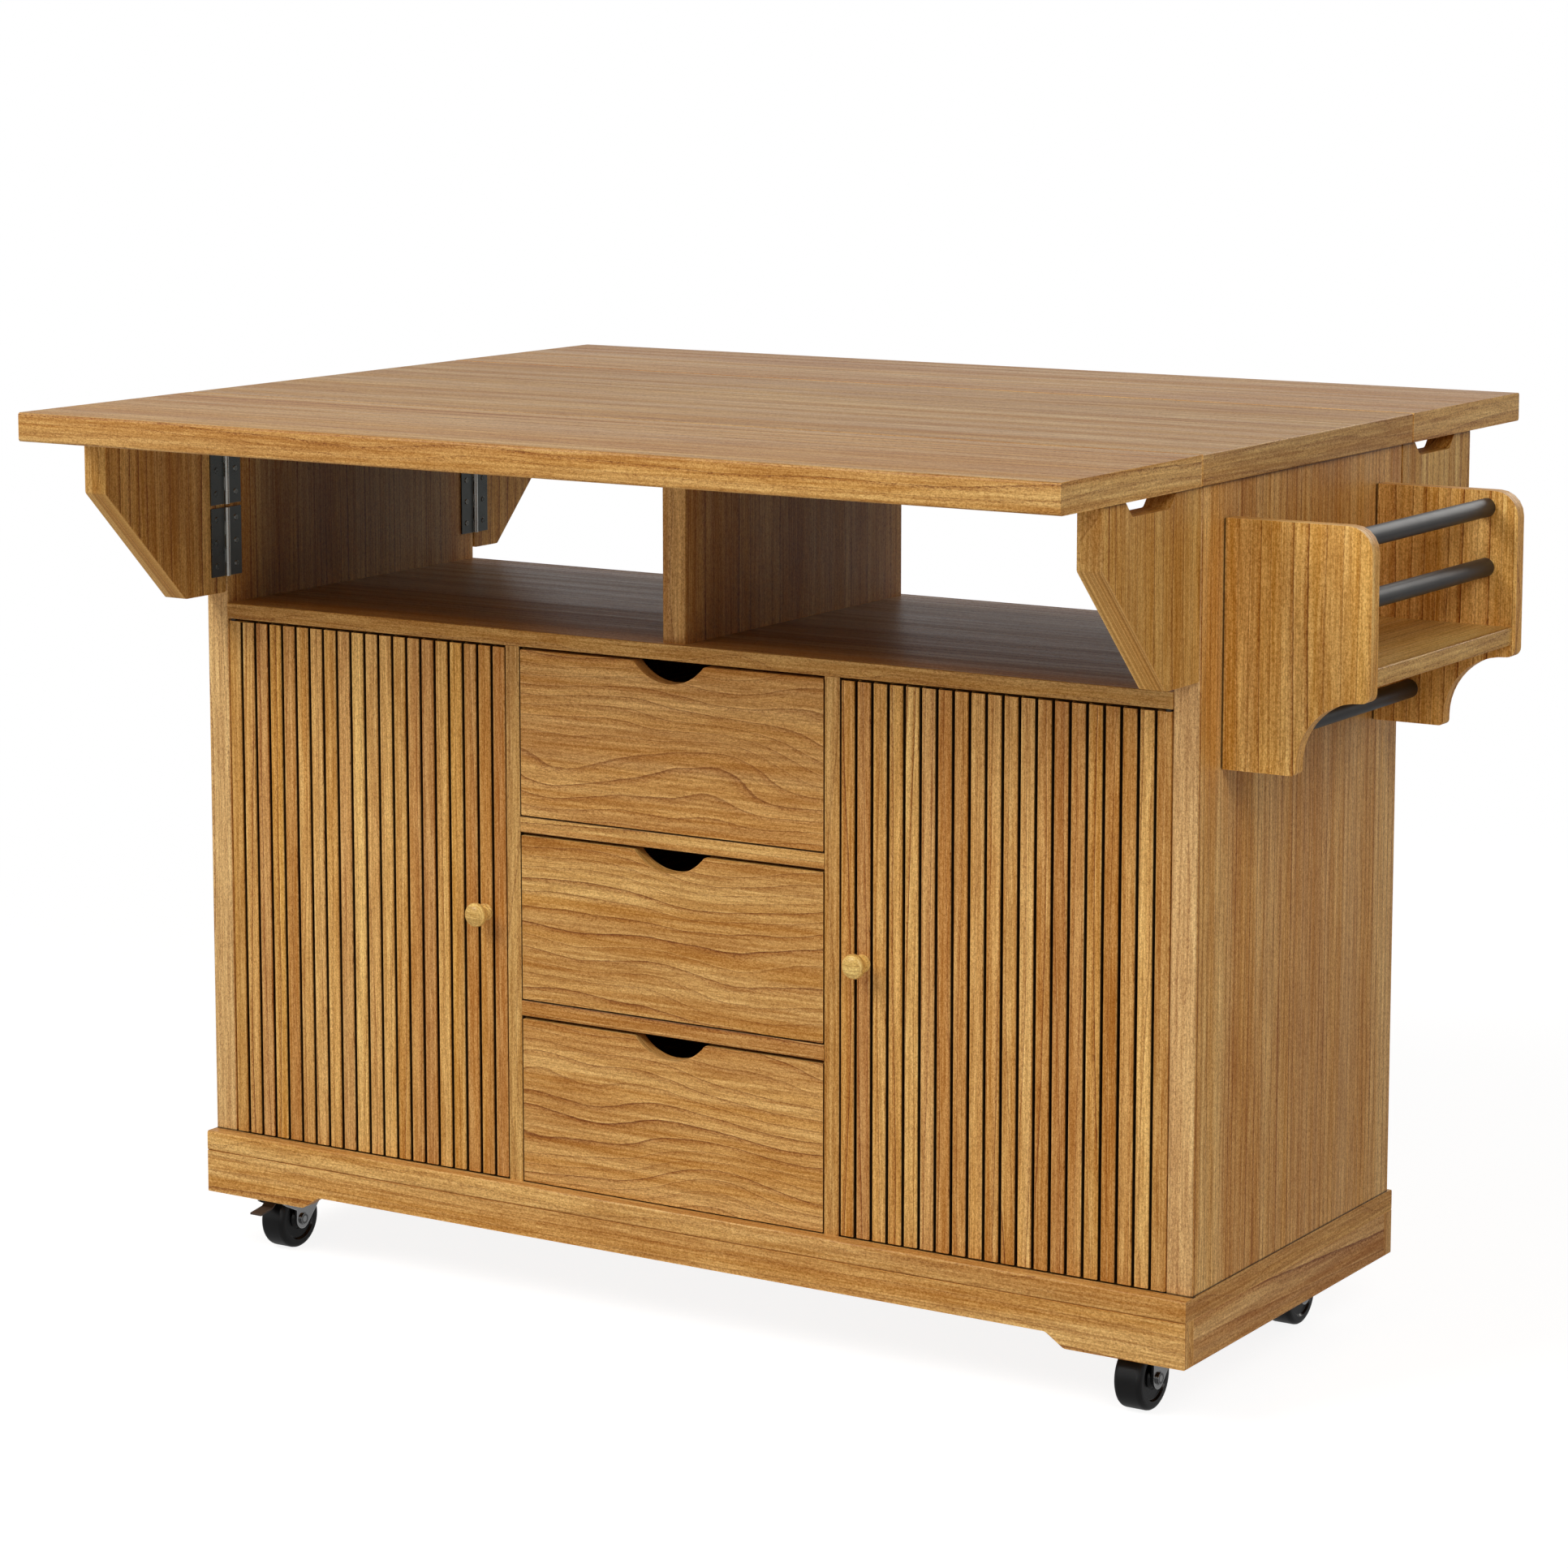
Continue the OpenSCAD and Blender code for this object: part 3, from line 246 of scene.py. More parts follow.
def wood(name, along, across, seed, spacing, hills, boards=None, tone_and_light=1.0, lines=1.0, colours=OAK,
         spread=0.02, rough=0.40, shades=(), creamy=0.0, yellow=0.0):
    """Lacquered veneer. along is the grain's axis and across the axis over the growth rings, which lie
    spacing apart. hills is how often the rings wander along and across the board, and by how many rings.
    boards is (axis, start, pitch) where a node holds several boards that differ. tone_and_light is how
    bright the wood is, which for some boards is partly painted light and painted shade, spread by what share
    chance makes a board brighter or darker, and lines how strong the rings are. creamy is how pale the
    board's edges are, and yellow turns the hue. shades are (tests, level) of painted shade, where the wood
    is darker in a joint, a groove, a gap or the open compartment, and of painted highlight, where it is
    brighter on the arrises of the worktop's seams. A test is (axis, centre or None, start, end): the shade
    grows from start to end, along the axis or in the distance from the centre."""
    g = WoodGraph(name, along, across, seed, boards)
    lines = g.either(lines, lines * EDGE_LINES)

    # each ring ends in a dark line of its own force, after a shadow and before a pale sheen
    field = g.rings(spacing, hills)
    ring = g.calc("FRACT", field)
    chance = g.chance(g.calc("ADD", g.calc("FLOOR", field), seed * 7.7))["Value"]
    force = g.scaled(g.calc("POWER", chance, 2.2), 0.24, 1.0)
    ended = g.step(ring, 1.0, 0.975)
    shadow = g.times(g.step(ring, 0.50, 0.98), ended)
    line = g.times(g.step(ring, 0.86, 0.965), ended)
    sheen = g.times(g.step(ring, 0.10, 0.02), g.step(ring, 0.0, 0.01))

    # fine rings between the strong ones
    fine = g.calc("FRACT", g.times(field, 5.0))
    fine = g.times(g.step(fine, 0.45, 0.95), g.step(fine, 1.0, 0.95))

    # long streaks, bands, fibres, the short dark pores that follow the grain, and broad patches
    streak = g.step(g.pattern(1.1, 40.0, 3.0, 0.6, 1.1), 0.33, 0.67)
    band = g.step(g.pattern(0.9, 24.0, 2.0, 0.55, 12.4), 0.34, 0.68)
    fibre = g.step(g.pattern(11.0, 330.0, 2.0, 0.65, 2.2), 0.30, 0.70)
    stipple = g.pattern(330.0, 850.0, 1.0, 0.6, 5.5)
    patch = g.pattern(2.6, 8.0, 1.0, 0.5, 9.1)
    pore = g.times(g.step(stipple, 0.53, 0.64), g.scaled(g.times(shadow, force), 0.22, 1.0))
    sand = g.noise(g.vector(*g.axes.values()), 640.0, 2.0, 0.7)

    colour = g.mix(streak, colours["pale"], colours["mid"])
    colour = g.mix(g.times(band, BANDS), colour, colours["deep"])
    if creamy:
        colour = g.mix(g.scaled(g.flat, creamy, 0.0), colour, colours["cream"])
    if boards:
        colour = g.mix(g.times(g.step(g.heat, 0.55, 1.0), RED_BOARDS), colour, colours["deep"])
        colour = g.mix(g.times(g.step(g.heat, 0.45, 0.0), PALE_BOARDS), colour, colours["pale"])
    colour = g.mix(g.times(fine, lines, FINE_RINGS), colour, colours["deep"])
    colour = g.mix(g.times(shadow, force, lines, RING_SHADOW), colour, colours["deep"])
    colour = g.mix(g.times(line, force, lines, RING_LINE), colour, colours["line"])
    colour = g.mix(g.times(sheen, force, lines, RING_SHEEN), colour, colours["pale"])
    colour = g.mix(g.times(pore, PORES), colour, colours["line"])

    bright = g.times(g.scaled(fibre, *FIBRES), g.scaled(g.step(stipple, 0.3, 0.7), *STIPPLE),
                     g.scaled(g.step(sand, 0.32, 0.68), *SAND), g.scaled(patch, *PATCHES))
    vivid = g.calc("MULTIPLY_ADD", bright, -PALER_LIGHT, 1 + PALER_LIGHT)
    turn = g.calc("MULTIPLY_ADD", bright, YELLOWER_LIGHT, -YELLOWER_LIGHT)
    if boards:
        own_tone_and_light = g.scaled(g.shade, tone_and_light * (1 - spread), tone_and_light * (1 + spread))
        hue = g.scaled(g.shade, *HUES_OF_SET)
    else:
        own_tone_and_light = tone_and_light * (1 - spread + 2 * spread * g.shade)
        hue = HUE + HUE_BY_BOARD * g.heat + yellow
    # the tone holds painted light for some boards, the edges are brighter as wear and a painted highlight,
    # and the shades add painted shade and painted highlights
    bright = g.times(bright, own_tone_and_light, g.scaled(g.flat, LIT_BOARD_EDGE, 1.0),
                     g.scaled(g.edge(1.8 * MM), 1.0, EDGE_WEAR_AND_HIGHLIGHT), *g.shading(shades))
    shaded = g.tinted(colour, bright, g.calc("ADD", hue, turn), vivid)

    satin = g.calc("MULTIPLY_ADD", streak, 0.10, rough - 0.05)
    satin = g.calc("MULTIPLY_ADD", pore, 0.20, satin)
    height = g.calc("MULTIPLY_ADD", pore, -0.8, g.times(fibre, 0.5))
    return g.finish(height, 0.25 * MM, 0.6, Base_Color=shaded, Roughness=satin, IOR=1.36)


# ---- metal, paint and plastic ----

class HardGraph(Graph):
    """The graph of a hard surface with soft smudges, fine scratches and the finest grain."""

    def __init__(self, name):
        super().__init__(bpy.data.materials.new(name))
        self.axes = self.place()
        where = self.vector(*self.axes.values())
        stretched = [self.times(self.axes[axis], often) for axis, often in zip("xyz", (90.0, 900.0, 160.0))]
        self.smudge = self.noise(where, 38.0, 4.0, 0.6)
        self.scratch = self.noise(self.vector(*stretched), 1.0, 3.0, 0.7)
        self.grain = self.noise(where, 1600.0, 2.0, 0.5)

    def uneven(self, smudge, scratch):
        """How bright the surface is, with each unevenness from its least to its most."""
        return self.times(self.scaled(self.smudge, *smudge), self.scaled(self.scratch, *scratch))

    def worn_and_lit(self, value, radius, more):
        """The same, brighter on the edges: partly wear and partly a painted highlight."""
        return self.calc("MULTIPLY_ADD", self.edge(radius), more, value)

    def rough(self, least, more):
        return self.calc("MULTIPLY_ADD", self.smudge, more, least)

    def brushed(self):
        """The height of scratches and grain."""
        return self.calc("MULTIPLY_ADD", self.scratch, 0.4, self.times(self.grain, 0.6))

    def round_axle(self, y, z):
        """The distance from an axle that runs along x."""
        dy = self.calc("SUBTRACT", self.axes["y"], y)
        dz = self.calc("SUBTRACT", self.axes["z"], z)
        return self.distance(dy, dz)


def metal(name, colour, rough):
    g = HardGraph(name)
    # brighter edges: partly wear and partly a painted highlight
    value = g.worn_and_lit(g.uneven((0.88, 1.12), (0.93, 1.07)), 0.6 * MM, 0.25)
    finish = g.calc("MULTIPLY_ADD", g.scratch, 0.08, g.rough(rough - 0.08, 0.16))
    return g.finish(g.brushed(), 0.06 * MM, 0.15, Base_Color=g.tinted(colour, value), Metallic=1.0,
                    Roughness=finish)


def hinge_metal(name, pins):
    """Dark plates with painted highlights: bright edges and bright knuckles. A pin is two (axis, centre,
    place) across
    it: it lies at place on both sides of the centre."""
    g = HardGraph(name)
    knuckle_highlight = 0.0
    for pin in pins:
        offsets = [g.calc("SUBTRACT", g.away(g.axes[axis], centre), place) for axis, centre, place in pin]
        knuckle_highlight = g.calc("MAXIMUM", knuckle_highlight, g.step(g.distance(*offsets), 3.05 * MM, 2.85 * MM))
    # painted highlights: the edges are brighter, and the knuckles take a light colour
    value = g.worn_and_lit(g.uneven((0.75, 1.25), (0.92, 1.08)), 0.6 * MM, 1.0)
    colour = g.mix(knuckle_highlight, rgb(84, 86, 84), rgb(196, 196, 190))
    return g.finish(g.brushed(), 0.05 * MM, 0.2, Base_Color=g.tinted(colour, value), Metallic=0.9,
                    Roughness=g.rough(0.20, 0.18))


def wheel_plastic(name, y, z, hub_radius):
    """A black tyre that is a little rougher than its glossy hub. y and z are the axle's."""
    g = HardGraph(name)
    radius = g.round_axle(y, z)
    tread = g.step(radius, hub_radius - 0.4 * MM, hub_radius + 0.4 * MM)
    turning = g.calc("SINE", g.times(radius, 9000.0))
    value = g.uneven((0.8, 1.25), (0.9, 1.1))
    colour = g.mix(tread, rgb(9, 9, 10), rgb(16, 16, 17))
    finish = g.calc("MULTIPLY_ADD", tread, 0.10, g.rough(0.14, 0.14))
    height = g.calc("MULTIPLY_ADD", turning, 0.12, g.times(g.grain, 0.5))
    return g.finish(height, 0.05 * MM, 0.2, Base_Color=g.tinted(colour, value), Roughness=finish, IOR=1.42)


def fork_metal(name, y, z):
    """Polished steel with a painted highlight on its edges and a dark ring round the axle's head. y and z
    are the axle's.
    """
    g = HardGraph(name)
    radius = g.round_axle(y, z)
    ring = g.times(g.step(radius, 3.0 * MM, 3.6 * MM), g.step(radius, 7.4 * MM, 6.6 * MM))
    value = g.times(g.uneven((0.70, 0.95), (0.93, 1.07)), g.scaled(ring, 1.0, 0.35))
    # painted highlight along the edges
    value = g.worn_and_lit(value, 1.2 * MM, 0.75)
    return g.finish(g.brushed(), 0.06 * MM, 0.15, Base_Color=g.tinted(rgb(206, 206, 206), value),
                    Metallic=1.0, Roughness=g.rough(0.07, 0.14))


def paint(name, colour, rough):
    g = HardGraph(name)
    # brighter edges: partly wear and partly a painted highlight
    value = g.worn_and_lit(g.uneven((0.85, 1.2), (0.92, 1.08)), 1.0 * MM, 0.3)
    return g.finish(g.grain, 0.08 * MM, 0.35, Base_Color=g.tinted(colour, value),
                    Roughness=g.rough(rough - 0.07, 0.14))


# ---- places that the materials follow ----

def middle(node):
    low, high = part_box(node)
    return (low + high) / 2


CORNERS = ("front_left", "front_right", "rear_left", "rear_right")
DOORS = ("left_door", "right_door")
SLATS = ("left_door_slats", "right_door_slats")
KNOBS = ("left_door_knob", "right_door_knob")
DRAWER_FRONTS = ("top_drawer_front", "middle_drawer_front", "bottom_drawer_front")
WORKTOP = ("centre_top", "front_leaf", "rear_leaf")

CABINET_X = middle("centre_top").x  # the cabinet's middle, as the rack moves the origin off it
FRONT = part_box("left_door")[0].y  # the doors' and drawers' outer face
SHELF_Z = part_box("compartment_shelf")[1].z
INNER_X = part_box("compartment_shelf")[1].x - CABINET_X  # half the width between the side panels
BASE_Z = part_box("base_panel")[1].z
TOP_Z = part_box("centre_top")[0].z  # the worktop's underside
SEAM = (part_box("front_leaf")[1].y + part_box("centre_top")[0].y) / 2  # the front one's y
RACK_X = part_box("rack_front_side")[0].x  # the face that lies on the side panel
SLATS_PER_NODE = 19
SLAT_GAP = 3.5 * MM
PIN_OFF = 2.9 * MM  # from the face that a hinge's plates lie on to its pin
BRACKET_PIN_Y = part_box("front_left_bracket")[1].y + 1.0 * MM  # the front ones', just behind the brackets
HUB_RADIUS = 24.0 * MM  # where the hub ends and the tyre starts


# ---- painted shade and painted highlights on the wood ----

SHADES = {}


def shade(names, tests, level):
    for name in names:
        SHADES.setdefault(name, []).append((tests, level))


def shade_compartment():
    """Painted shade: the open compartment's inside is dark, away from its two open sides."""
    deep = [("z", None, SHELF_Z - 1.2 * MM, SHELF_Z - 0.4 * MM), ("y", 0.0, 225.5 * MM, 150.0 * MM)]
    shade(["compartment_shelf"], deep, 0.50)
    shade(["compartment_divider"], deep, 0.75)
    wall = deep + [("x", CABINET_X, INNER_X + 3.0 * MM, INNER_X + 1.0 * MM)]
    shade(["left_side_panel", "right_side_panel"], wall, 0.50)


def shade_panel_joints():
    """Thin shadows where side panels and brackets meet the top, and the panels the base and the rack."""
    panels = ["left_side_panel", "right_side_panel"]
    shade(panels + [corner + "_bracket" for corner in CORNERS],
          [("z", None, TOP_Z - 3.5 * MM, TOP_Z - 1.2 * MM)], 0.35)
    shade(panels, [("z", None, BASE_Z + 2.4 * MM, BASE_Z + 0.8 * MM)], 0.15)
    shade(["rack_front_side", "rack_rear_side", "rack_shelf"],
          [("x", None, RACK_X + 2.6 * MM, RACK_X + 1.4 * MM)], 0.12)


def shade_doors():
    """Painted shade in the grooves: the board behind the slats is dark between them, and so are the slats'
    flanks.
    """
    for door in DOORS:
        low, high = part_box(door)
        half = (high - low) / 2
        shade([door], [("y", None, FRONT + 0.6 * MM, FRONT + 2.6 * MM),
                       ("y", None, FRONT + 12.5 * MM, FRONT + 11.5 * MM),
                       ("x", middle(door).x, half.x - 0.6 * MM, half.x - 1.4 * MM),
                       ("z", middle(door).z, half.z - 0.6 * MM, half.z - 1.4 * MM)], 0.08)
    for slats in SLATS:
        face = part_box(slats)[0].y
        shade([slats], [("y", None, face + 0.6 * MM, face + 2.6 * MM)], 0.06)


def shade_gaps():
    """Painted shade in the gaps: the faces that line the gaps round the doors and drawers are dark just
    behind the front.
    """
    for front in DRAWER_FRONTS:
        half = (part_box(front)[1].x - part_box(front)[0].x) / 2
        shade([front], [("y", None, FRONT + 0.2 * MM, FRONT + 0.9 * MM),
                        ("y", None, FRONT + 6.0 * MM, FRONT + 3.0 * MM),
                        ("x", CABINET_X, half - 0.9 * MM, half - 0.3 * MM)], 0.12)
    lip = [("y", None, FRONT + 0.1 * MM, FRONT + 0.5 * MM), ("y", None, FRONT + 8.0 * MM, FRONT + 5.0 * MM)]
    shade(["base_panel"], lip + [("z", None, BASE_Z - 0.5 * MM, BASE_Z - 0.2 * MM)], 0.12)
    shade(["drawer_rails"], lip, 0.12)
    inner = CABINET_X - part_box("left_partition")[1].x
    outer = CABINET_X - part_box("left_partition")[0].x
    shade(["left_partition"], lip + [("x", CABINET_X, inner + 0.6 * MM, inner + 0.3 * MM)], 0.12)
    shade(["right_partition"], lip + [("x", CABINET_X, outer - 0.6 * MM, outer - 0.3 * MM)], 0.12)


def paint_seam_highlights():
    """A painted highlight: the arrises along the worktop's seams are bright."""
    shade(WORKTOP, [("y", 0.0, -SEAM - 3.2 * MM, -SEAM - 1.2 * MM),
                    ("y", 0.0, -SEAM + 3.2 * MM, -SEAM + 1.2 * MM)], 1.22)


# ---- what each node is made of ----

def give(node, material):
    mesh = nodes[node].data
    mesh.materials.clear()
    mesh.materials.append(material)


def soften(node, width):
    """Small rounded edges all over a node, with even shading."""
    thing = nodes[node]
    mesh = thing.data
    if "custom_normal" in mesh.attributes:
        mesh.attributes.remove(mesh.attributes["custom_normal"])
    for polygon in mesh.polygons:
        polygon.use_smooth = True
    weld = thing.modifiers.new("weld", "WELD")
    weld.merge_threshold = 0.01 * MM
    bevel = thing.modifiers.new("soft edges", "BEVEL")
    bevel.width = width
    bevel.segments = 2
    bevel.limit_method = "ANGLE"
    bevel.angle_limit = math.radians(35)
    bevel.harden_normals = True
    bevel.use_clamp_overlap = True


# how the rings wander: how often along and across the board, and by how many rings
STRAIGHT = (0.35, 15.0, 2.2)
GENTLE = (0.9, 7.0, 2.4)
HILLS = (4.2, 8.5, 3.2)
NARROW = (1.2, 11.0, 2.4)
TURNED = (6.0, 60.0, 0.8)

# node: (grain's axis, axis over the rings, ring spacing in mm, hills, tone and painted light, strength of
# the lines)
# the worktop's boards and the compartment's shelf are set darker, a painted shade, and the rack's sides
# brighter, a painted light
BOARDS = {
    "left_side_panel": ("z", "y", 10, STRAIGHT, 1.05, 1.0),
    "right_side_panel": ("z", "y", 10, STRAIGHT, 1.05, 1.0),
    "base_panel": ("x", "y", 14, GENTLE, 1.0, 0.7),
    "plinth_front": ("x", "z", 17, GENTLE, 1.0, 0.8),
    "plinth_back": ("x", "z", 17, GENTLE, 1.0, 0.8),
    "compartment_shelf": ("x", "y", 14, GENTLE, 0.85, 0.8),
    "compartment_divider": ("z", "y", 13, STRAIGHT, 0.95, 0.8),
    "left_partition": ("z", "y", 12, STRAIGHT, 0.88, 1.0),
    "right_partition": ("z", "y", 12, STRAIGHT, 0.90, 1.0),
    "back_panel": ("z", "x", 16, GENTLE, 0.95, 0.7),
    "centre_top": ("x", "y", 12, STRAIGHT, 0.87, 0.8),
    "front_leaf": ("x", "y", 12, STRAIGHT, 0.90, 0.8),
    "rear_leaf": ("x", "y", 12, STRAIGHT, 0.89, 0.8),
    "rack_front_side": ("z", "x", 15, GENTLE, 1.24, 1.1),
    "rack_rear_side": ("z", "x", 15, GENTLE, 1.24, 1.1),
    "rack_shelf": ("y", "x", 13, STRAIGHT, 1.0, 0.7),
    "front_left_bracket": ("z", "y", 16, GENTLE, 1.0, 1.2),
    "front_right_bracket": ("z", "y", 16, GENTLE, 1.0, 1.2),
    "rear_left_bracket": ("z", "y", 16, GENTLE, 1.0, 1.2),
    "rear_right_bracket": ("z", "y", 16, GENTLE, 1.0, 1.2),
    "left_door": ("z", "x", 12, GENTLE, 0.98, 0.7),
    "right_door": ("z", "x", 12, GENTLE, 0.98, 0.7),
    "top_drawer_front": ("x", "z", 15, HILLS, 0.98, 1.0),
    "middle_drawer_front": ("x", "z", 13, HILLS, 1.0, 1.0),
    "bottom_drawer_front": ("x", "z", 14, HILLS, 1.0, 1.0),
    "top_drawer_box": ("y", "z", 14, STRAIGHT, 0.95, 0.8),
    "middle_drawer_box": ("y", "z", 14, STRAIGHT, 0.95, 0.8),
    "bottom_drawer_box": ("y", "z", 14, STRAIGHT, 0.95, 0.8),
}
# nodes of several boards, told apart by their place along an axis, where another starts at every pitch:
# (grain's axis, axis over the rings, ring spacing in mm, (axis, start, pitch), spread)
HALVES = ("x", CABINET_X, 2.0)  # left and right of the cabinet's middle
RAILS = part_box("drawer_rails")
SETS = {
    "plinth_ends": ("y", "z", 17, HALVES, 0.03),
    "cupboard_shelves": ("x", "y", 13, HALVES, 0.03),
    "caster_blocks": ("x", "y", 13, HALVES, 0.03),
    "drawer_rails": ("x", "z", 12, ("z", RAILS[0].z - 10.0 * MM, (RAILS[1].z - RAILS[0].z) / 2), 0.04),
}
# how wide the soft edges are, where it isn't the usual width
SOFT_EDGE = 0.8 * MM
SOFT = {**dict.fromkeys(SLATS + DRAWER_FRONTS, 0.5 * MM), **dict.fromkeys(WORKTOP, 1.2 * MM),
        **dict.fromkeys(("drawer_rails", "left_partition", "right_partition"), 0.3 * MM)}
RACK_YELLOW, BRACKET_YELLOW = 0.006, 0.003
PANEL_CREAM = 0.6
# the first seed of each group of wooden nodes
BOARD_SEED, SET_SEED, SLAT_SEED, KNOB_SEED = 1, 40, 50, 60


def dress_boards():
    for seed, (node, (along, across, spacing, hills, tone_and_light, lines)) in enumerate(BOARDS.items(), BOARD_SEED):
        yellow = RACK_YELLOW if "rack" in node else BRACKET_YELLOW if "bracket" in node else 0.0
        give(node, wood("wood " + node, along, across, seed, spacing * MM, hills, tone_and_light=tone_and_light, lines=lines,
                        shades=SHADES.get(node, ()), creamy=PANEL_CREAM if "side_panel" in node else 0.0,
                        yellow=yellow))


def dress_sets():
    for seed, (node, (along, across, spacing, boards, spread)) in enumerate(SETS.items(), SET_SEED):
        give(node, wood("wood " + node, along, across, seed, spacing * MM, GENTLE, boards=boards,
                        spread=spread, lines=0.8, shades=SHADES.get(node, ())))


def dress_slats():
    for seed, node in enumerate(SLATS, SLAT_SEED):
        low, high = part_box(node)
        pitch = (high.x - low.x + SLAT_GAP) / SLATS_PER_NODE
        give(node, wood("wood " + node, "z", "x", seed, 11.0 * MM, NARROW, tone_and_light=1.10, spread=0.09,
                        boards=("x", low.x - SLAT_GAP / 2, pitch), shades=SHADES[node]))


def dress_knobs():
    for seed, node in enumerate(KNOBS, KNOB_SEED):
        give(node, wood("wood " + node, "x", "z", seed, 4.5 * MM, TURNED, colours=PINE, rough=0.34))


def dress_fittings():
    steel = metal("brushed steel", rgb(196, 196, 192), 0.30)
    for node in ("shelf_pins", "hinge_pins", "cabinet_runners"):
        give(node, steel)
    give("fixed_hinge_screws", metal("dark polished steel", rgb(118, 118, 114), 0.20))
    give("door_pivot_pins", metal("dark steel", rgb(70, 66, 60), 0.45))
    give("caster_plates", metal("polished steel", rgb(214, 214, 214), 0.16))
    give("rack_rods", paint("black paint", rgb(31, 30, 30), 0.42))


def dress_hinges():
    bracket_pin = (("x", CABINET_X, INNER_X - PIN_OFF), ("y", 0.0, -BRACKET_PIN_Y))
    leaf_pin = (("z", 0.0, TOP_Z - PIN_OFF), ("y", 0.0, -SEAM))
    give("fixed_hinge_plates", hinge_metal("fixed hinge plates", [bracket_pin, leaf_pin]))
    bracket_metal = hinge_metal("bracket hinges", [bracket_pin])
    for corner in CORNERS:
        give(corner + "_bracket_plates", bracket_metal)
    leaf_metal = hinge_metal("leaf hinges", [leaf_pin])
    for end in ("front", "rear"):
        give(end + "_leaf_hinge_plates", leaf_metal)


def dress_casters():
    for corner in CORNERS:
        axle = middle(corner + "_wheel")
        give(corner + "_fork", fork_metal("fork " + corner, axle.y, axle.z))
        give(corner + "_wheel", wheel_plastic("wheel " + corner, axle.y, axle.z, HUB_RADIUS))
    brake_paint = paint("dark brake paint", rgb(74, 62, 54), 0.34)
    for corner in ("front_left", "rear_right"):
        give(corner + "_brake", brake_paint)


# ---- stage, light and camera ----

GLOSS_WHITE = 0.65  # how bright the surroundings are in reflections
GLOSS_FLOOR = 0.34  # how bright the floor is in reflections
FLOOR_LIT = 0.42  # about how bright the lamps make the floor
FLOOR_KEPT = 0.28  # the share of the floor's real light that is kept round the object, for the shadow
FLOOR_NEAR, FLOOR_FAR = 1.2, 3.0  # between which that share fades
FLOOR_REACH = 30.0
WORLD_LIGHT = 0.08
LAMP_WHITE = (1.0, 0.97, 0.93)
WORLD_WHITE = (1.0, 0.985, 0.965, 1.0)
AIM = (0, 0, 0.45)

# the photo's camera, as a fit to the straight edges in the photo gives it
FRAME_PX = 1932.0
FOCAL_PX = 5431.1
CENTRE_PX = (964.9, 746.0)
SENSOR = 36.0
CAMERA_PLACE = (2.3732, -3.8967, 1.3760)
CAMERA_YAW = math.radians(32.172)
CAMERA_PITCH = math.radians(-7.991)
CAMERA_SEES = 100.0


def stage_floor():
    """A pale floor that the camera and gloss see as white, with a share of its real light kept round the
    object for the shadow."""
    far = FLOOR_REACH
    mesh = bpy.data.meshes.new("floor")
    mesh.from_pydata([(-far, -far, 0), (far, -far, 0), (far, far, 0), (-far, far, 0)], [], [(0, 1, 2, 3)])
    floor = bpy.data.objects.new("floor", mesh)
    scene.collection.objects.link(floor)
    g = Graph(bpy.data.materials.new("floor"))
    axes = g.place()
    share = g.times(g.step(g.distance(axes["x"], axes["y"]), FLOOR_FAR, FLOOR_NEAR), FLOOR_KEPT)
    ray = g.add("ShaderNodeLightPath").outputs
    plain = g.add("ShaderNodeBsdfDiffuse", {"Color": rgb(240, 240, 239)})
    kept = g.times(share, ray["Is Camera Ray"])
    shadow = g.add("ShaderNodeBsdfDiffuse", {"Color": g.mix(kept, BLACK, WHITE)})
    level = g.times(g.calc("MAXIMUM", ray["Is Camera Ray"], GLOSS_FLOOR),
                    g.calc("MULTIPLY_ADD", share, -FLOOR_LIT, 1.0))
    glow = g.add("ShaderNodeEmission", {"Color": WHITE, "Strength": level})
    white = g.add("ShaderNodeAddShader", {0: shadow.outputs[0], 1: glow.outputs[0]})
    seen = g.calc("MAXIMUM", ray["Is Camera Ray"], ray["Is Glossy Ray"])
    g.add("ShaderNodeOutputMaterial", {"Surface": g.between(seen, plain, white).outputs[0]})
    mesh.materials.append(g.owner)


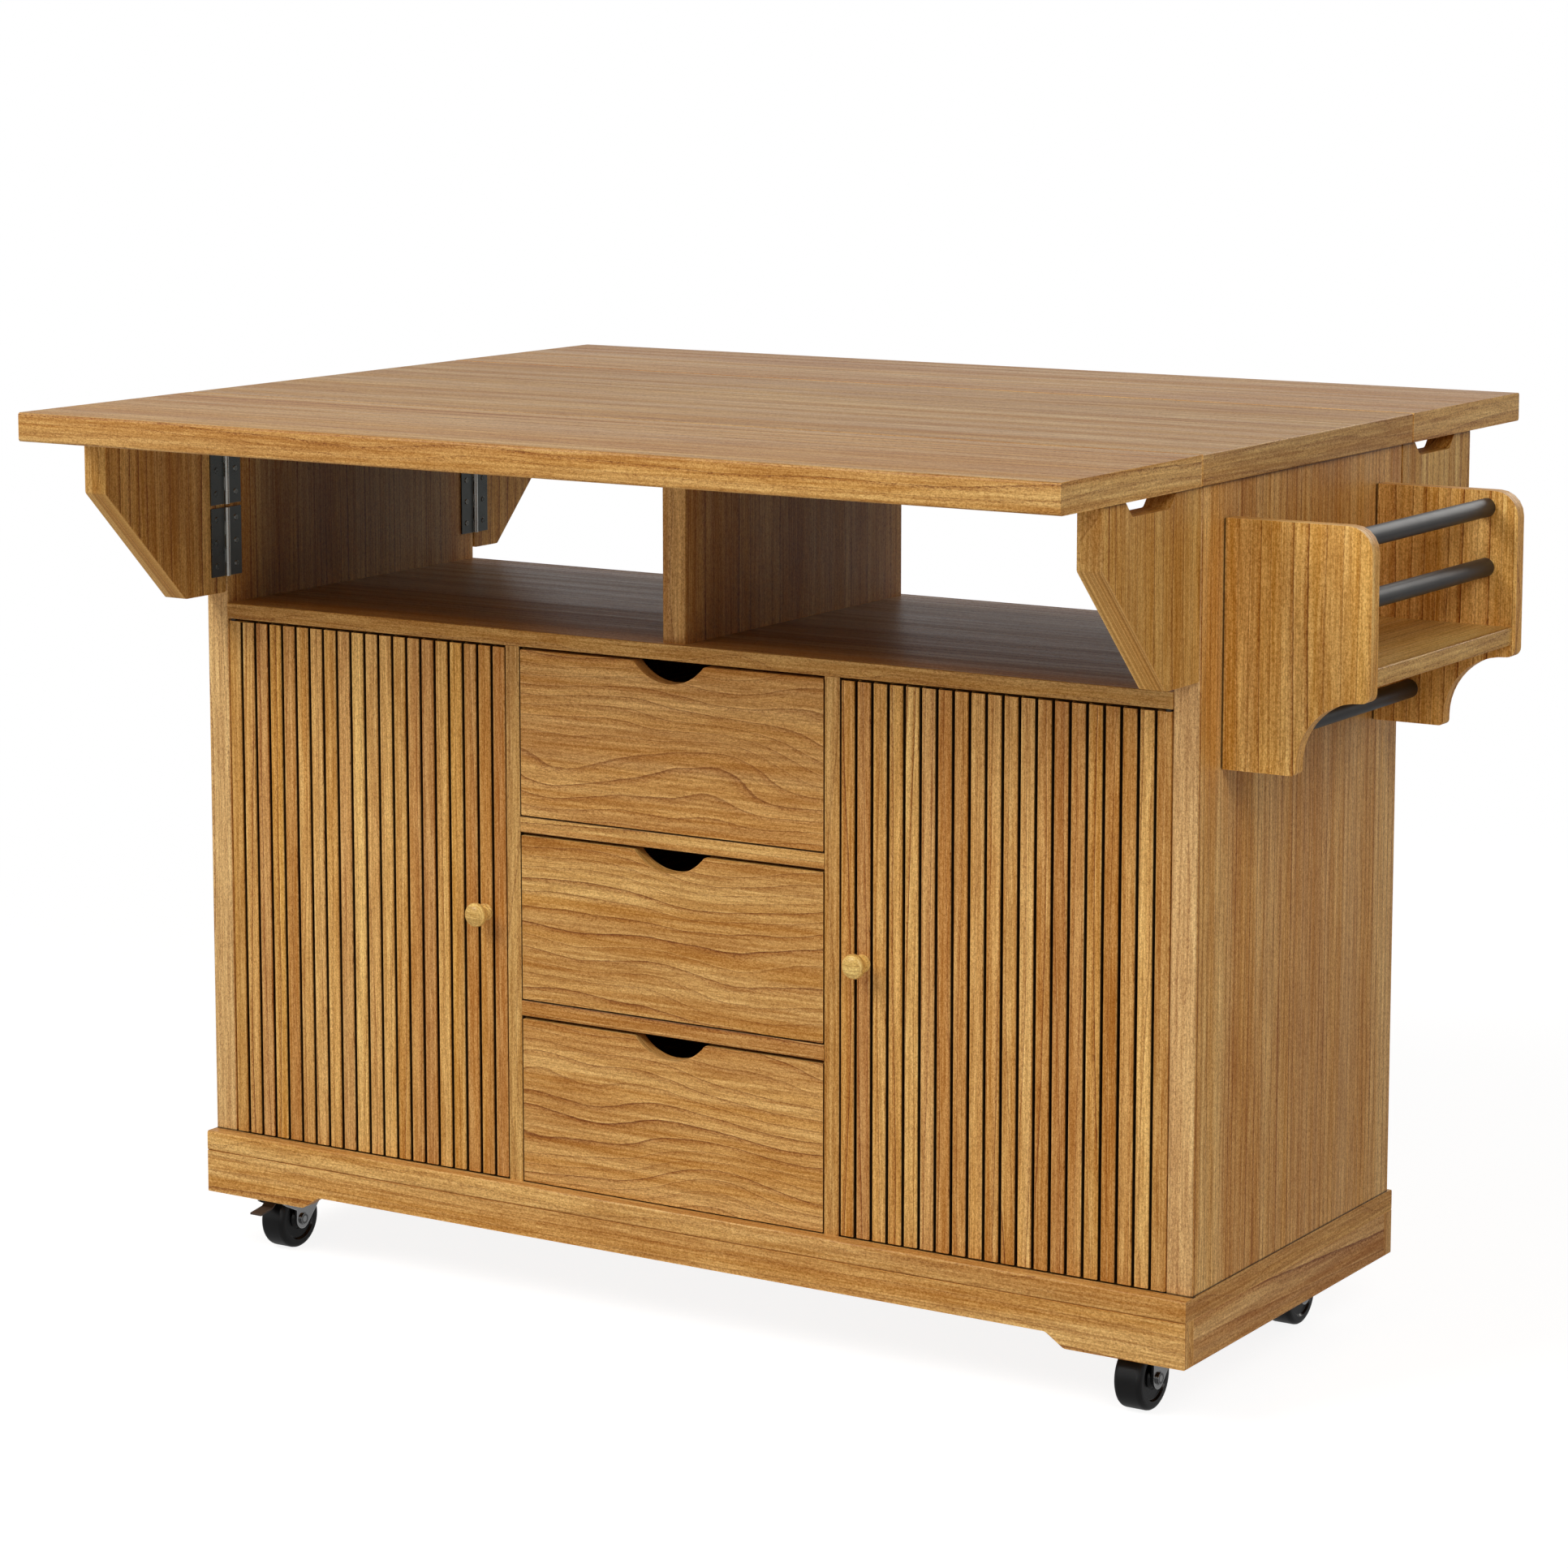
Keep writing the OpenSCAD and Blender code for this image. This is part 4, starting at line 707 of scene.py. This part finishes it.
def white_world():
    """White to the camera, dimmer in reflections, and otherwise a faint warm light."""
    scene.world = bpy.data.worlds.new("studio")
    g = Graph(scene.world)
    ray = g.add("ShaderNodeLightPath").outputs
    level = g.calc("MAXIMUM", ray["Is Camera Ray"], g.times(ray["Is Glossy Ray"], GLOSS_WHITE))
    white = g.add("ShaderNodeBackground", {"Color": WHITE, "Strength": level})
    faint = g.add("ShaderNodeBackground", {"Color": WORLD_WHITE, "Strength": WORLD_LIGHT})
    seen = g.calc("MAXIMUM", ray["Is Camera Ray"], ray["Is Glossy Ray"])
    g.add("ShaderNodeOutputWorld", {"Surface": g.between(seen, faint, white).outputs[0]})


def area_light(name, place, target, size, power):
    lamp = bpy.data.lights.new(name, "AREA")
    lamp.shape = "RECTANGLE"
    lamp.size, lamp.size_y = size
    lamp.energy = power
    lamp.color = LAMP_WHITE
    holder = bpy.data.objects.new(name, lamp)
    scene.collection.objects.link(holder)
    holder.location = place
    holder.rotation_euler = (Vector(target) - Vector(place)).to_track_quat("-Z", "Y").to_euler()


def photo_camera():
    data = bpy.data.cameras.new("camera")
    holder = bpy.data.objects.new("camera", data)
    scene.collection.objects.link(holder)
    scene.camera = holder
    data.sensor_width = SENSOR
    data.lens = SENSOR * FOCAL_PX / FRAME_PX
    data.shift_x = (FRAME_PX / 2 - CENTRE_PX[0]) / FRAME_PX
    data.shift_y = (CENTRE_PX[1] - FRAME_PX / 2) / FRAME_PX
    data.clip_end = CAMERA_SEES
    holder.location = CAMERA_PLACE
    yaw, pitch = CAMERA_YAW, CAMERA_PITCH
    ahead = Vector((-math.sin(yaw) * math.cos(pitch), math.cos(yaw) * math.cos(pitch), math.sin(pitch)))
    holder.rotation_euler = ahead.to_track_quat("-Z", "Y").to_euler()


shade_compartment()
shade_panel_joints()
shade_doors()
shade_gaps()
paint_seam_highlights()
dress_boards()
dress_sets()
dress_slats()
dress_knobs()
dress_fittings()
dress_hinges()
dress_casters()
for node in (*BOARDS, *SETS, *SLATS):
    soften(node, SOFT.get(node, SOFT_EDGE))
stage_floor()
white_world()
area_light("key", (-2.2, -3.6, 3.9), (-0.1, 0, 0.45), (2.8, 2.2), 158.0)
area_light("side fill", (3.6, -2.6, 3.4), (0.2, 0, 0.45), (2.8, 2.2), 84.0)
area_light("front fill", (0.4, -5.4, 1.2), AIM, (3.0, 1.2), 8.0)
area_light("back fill", (1.0, 4.2, 2.6), AIM, (2.8, 2.2), 48.0)
photo_camera()
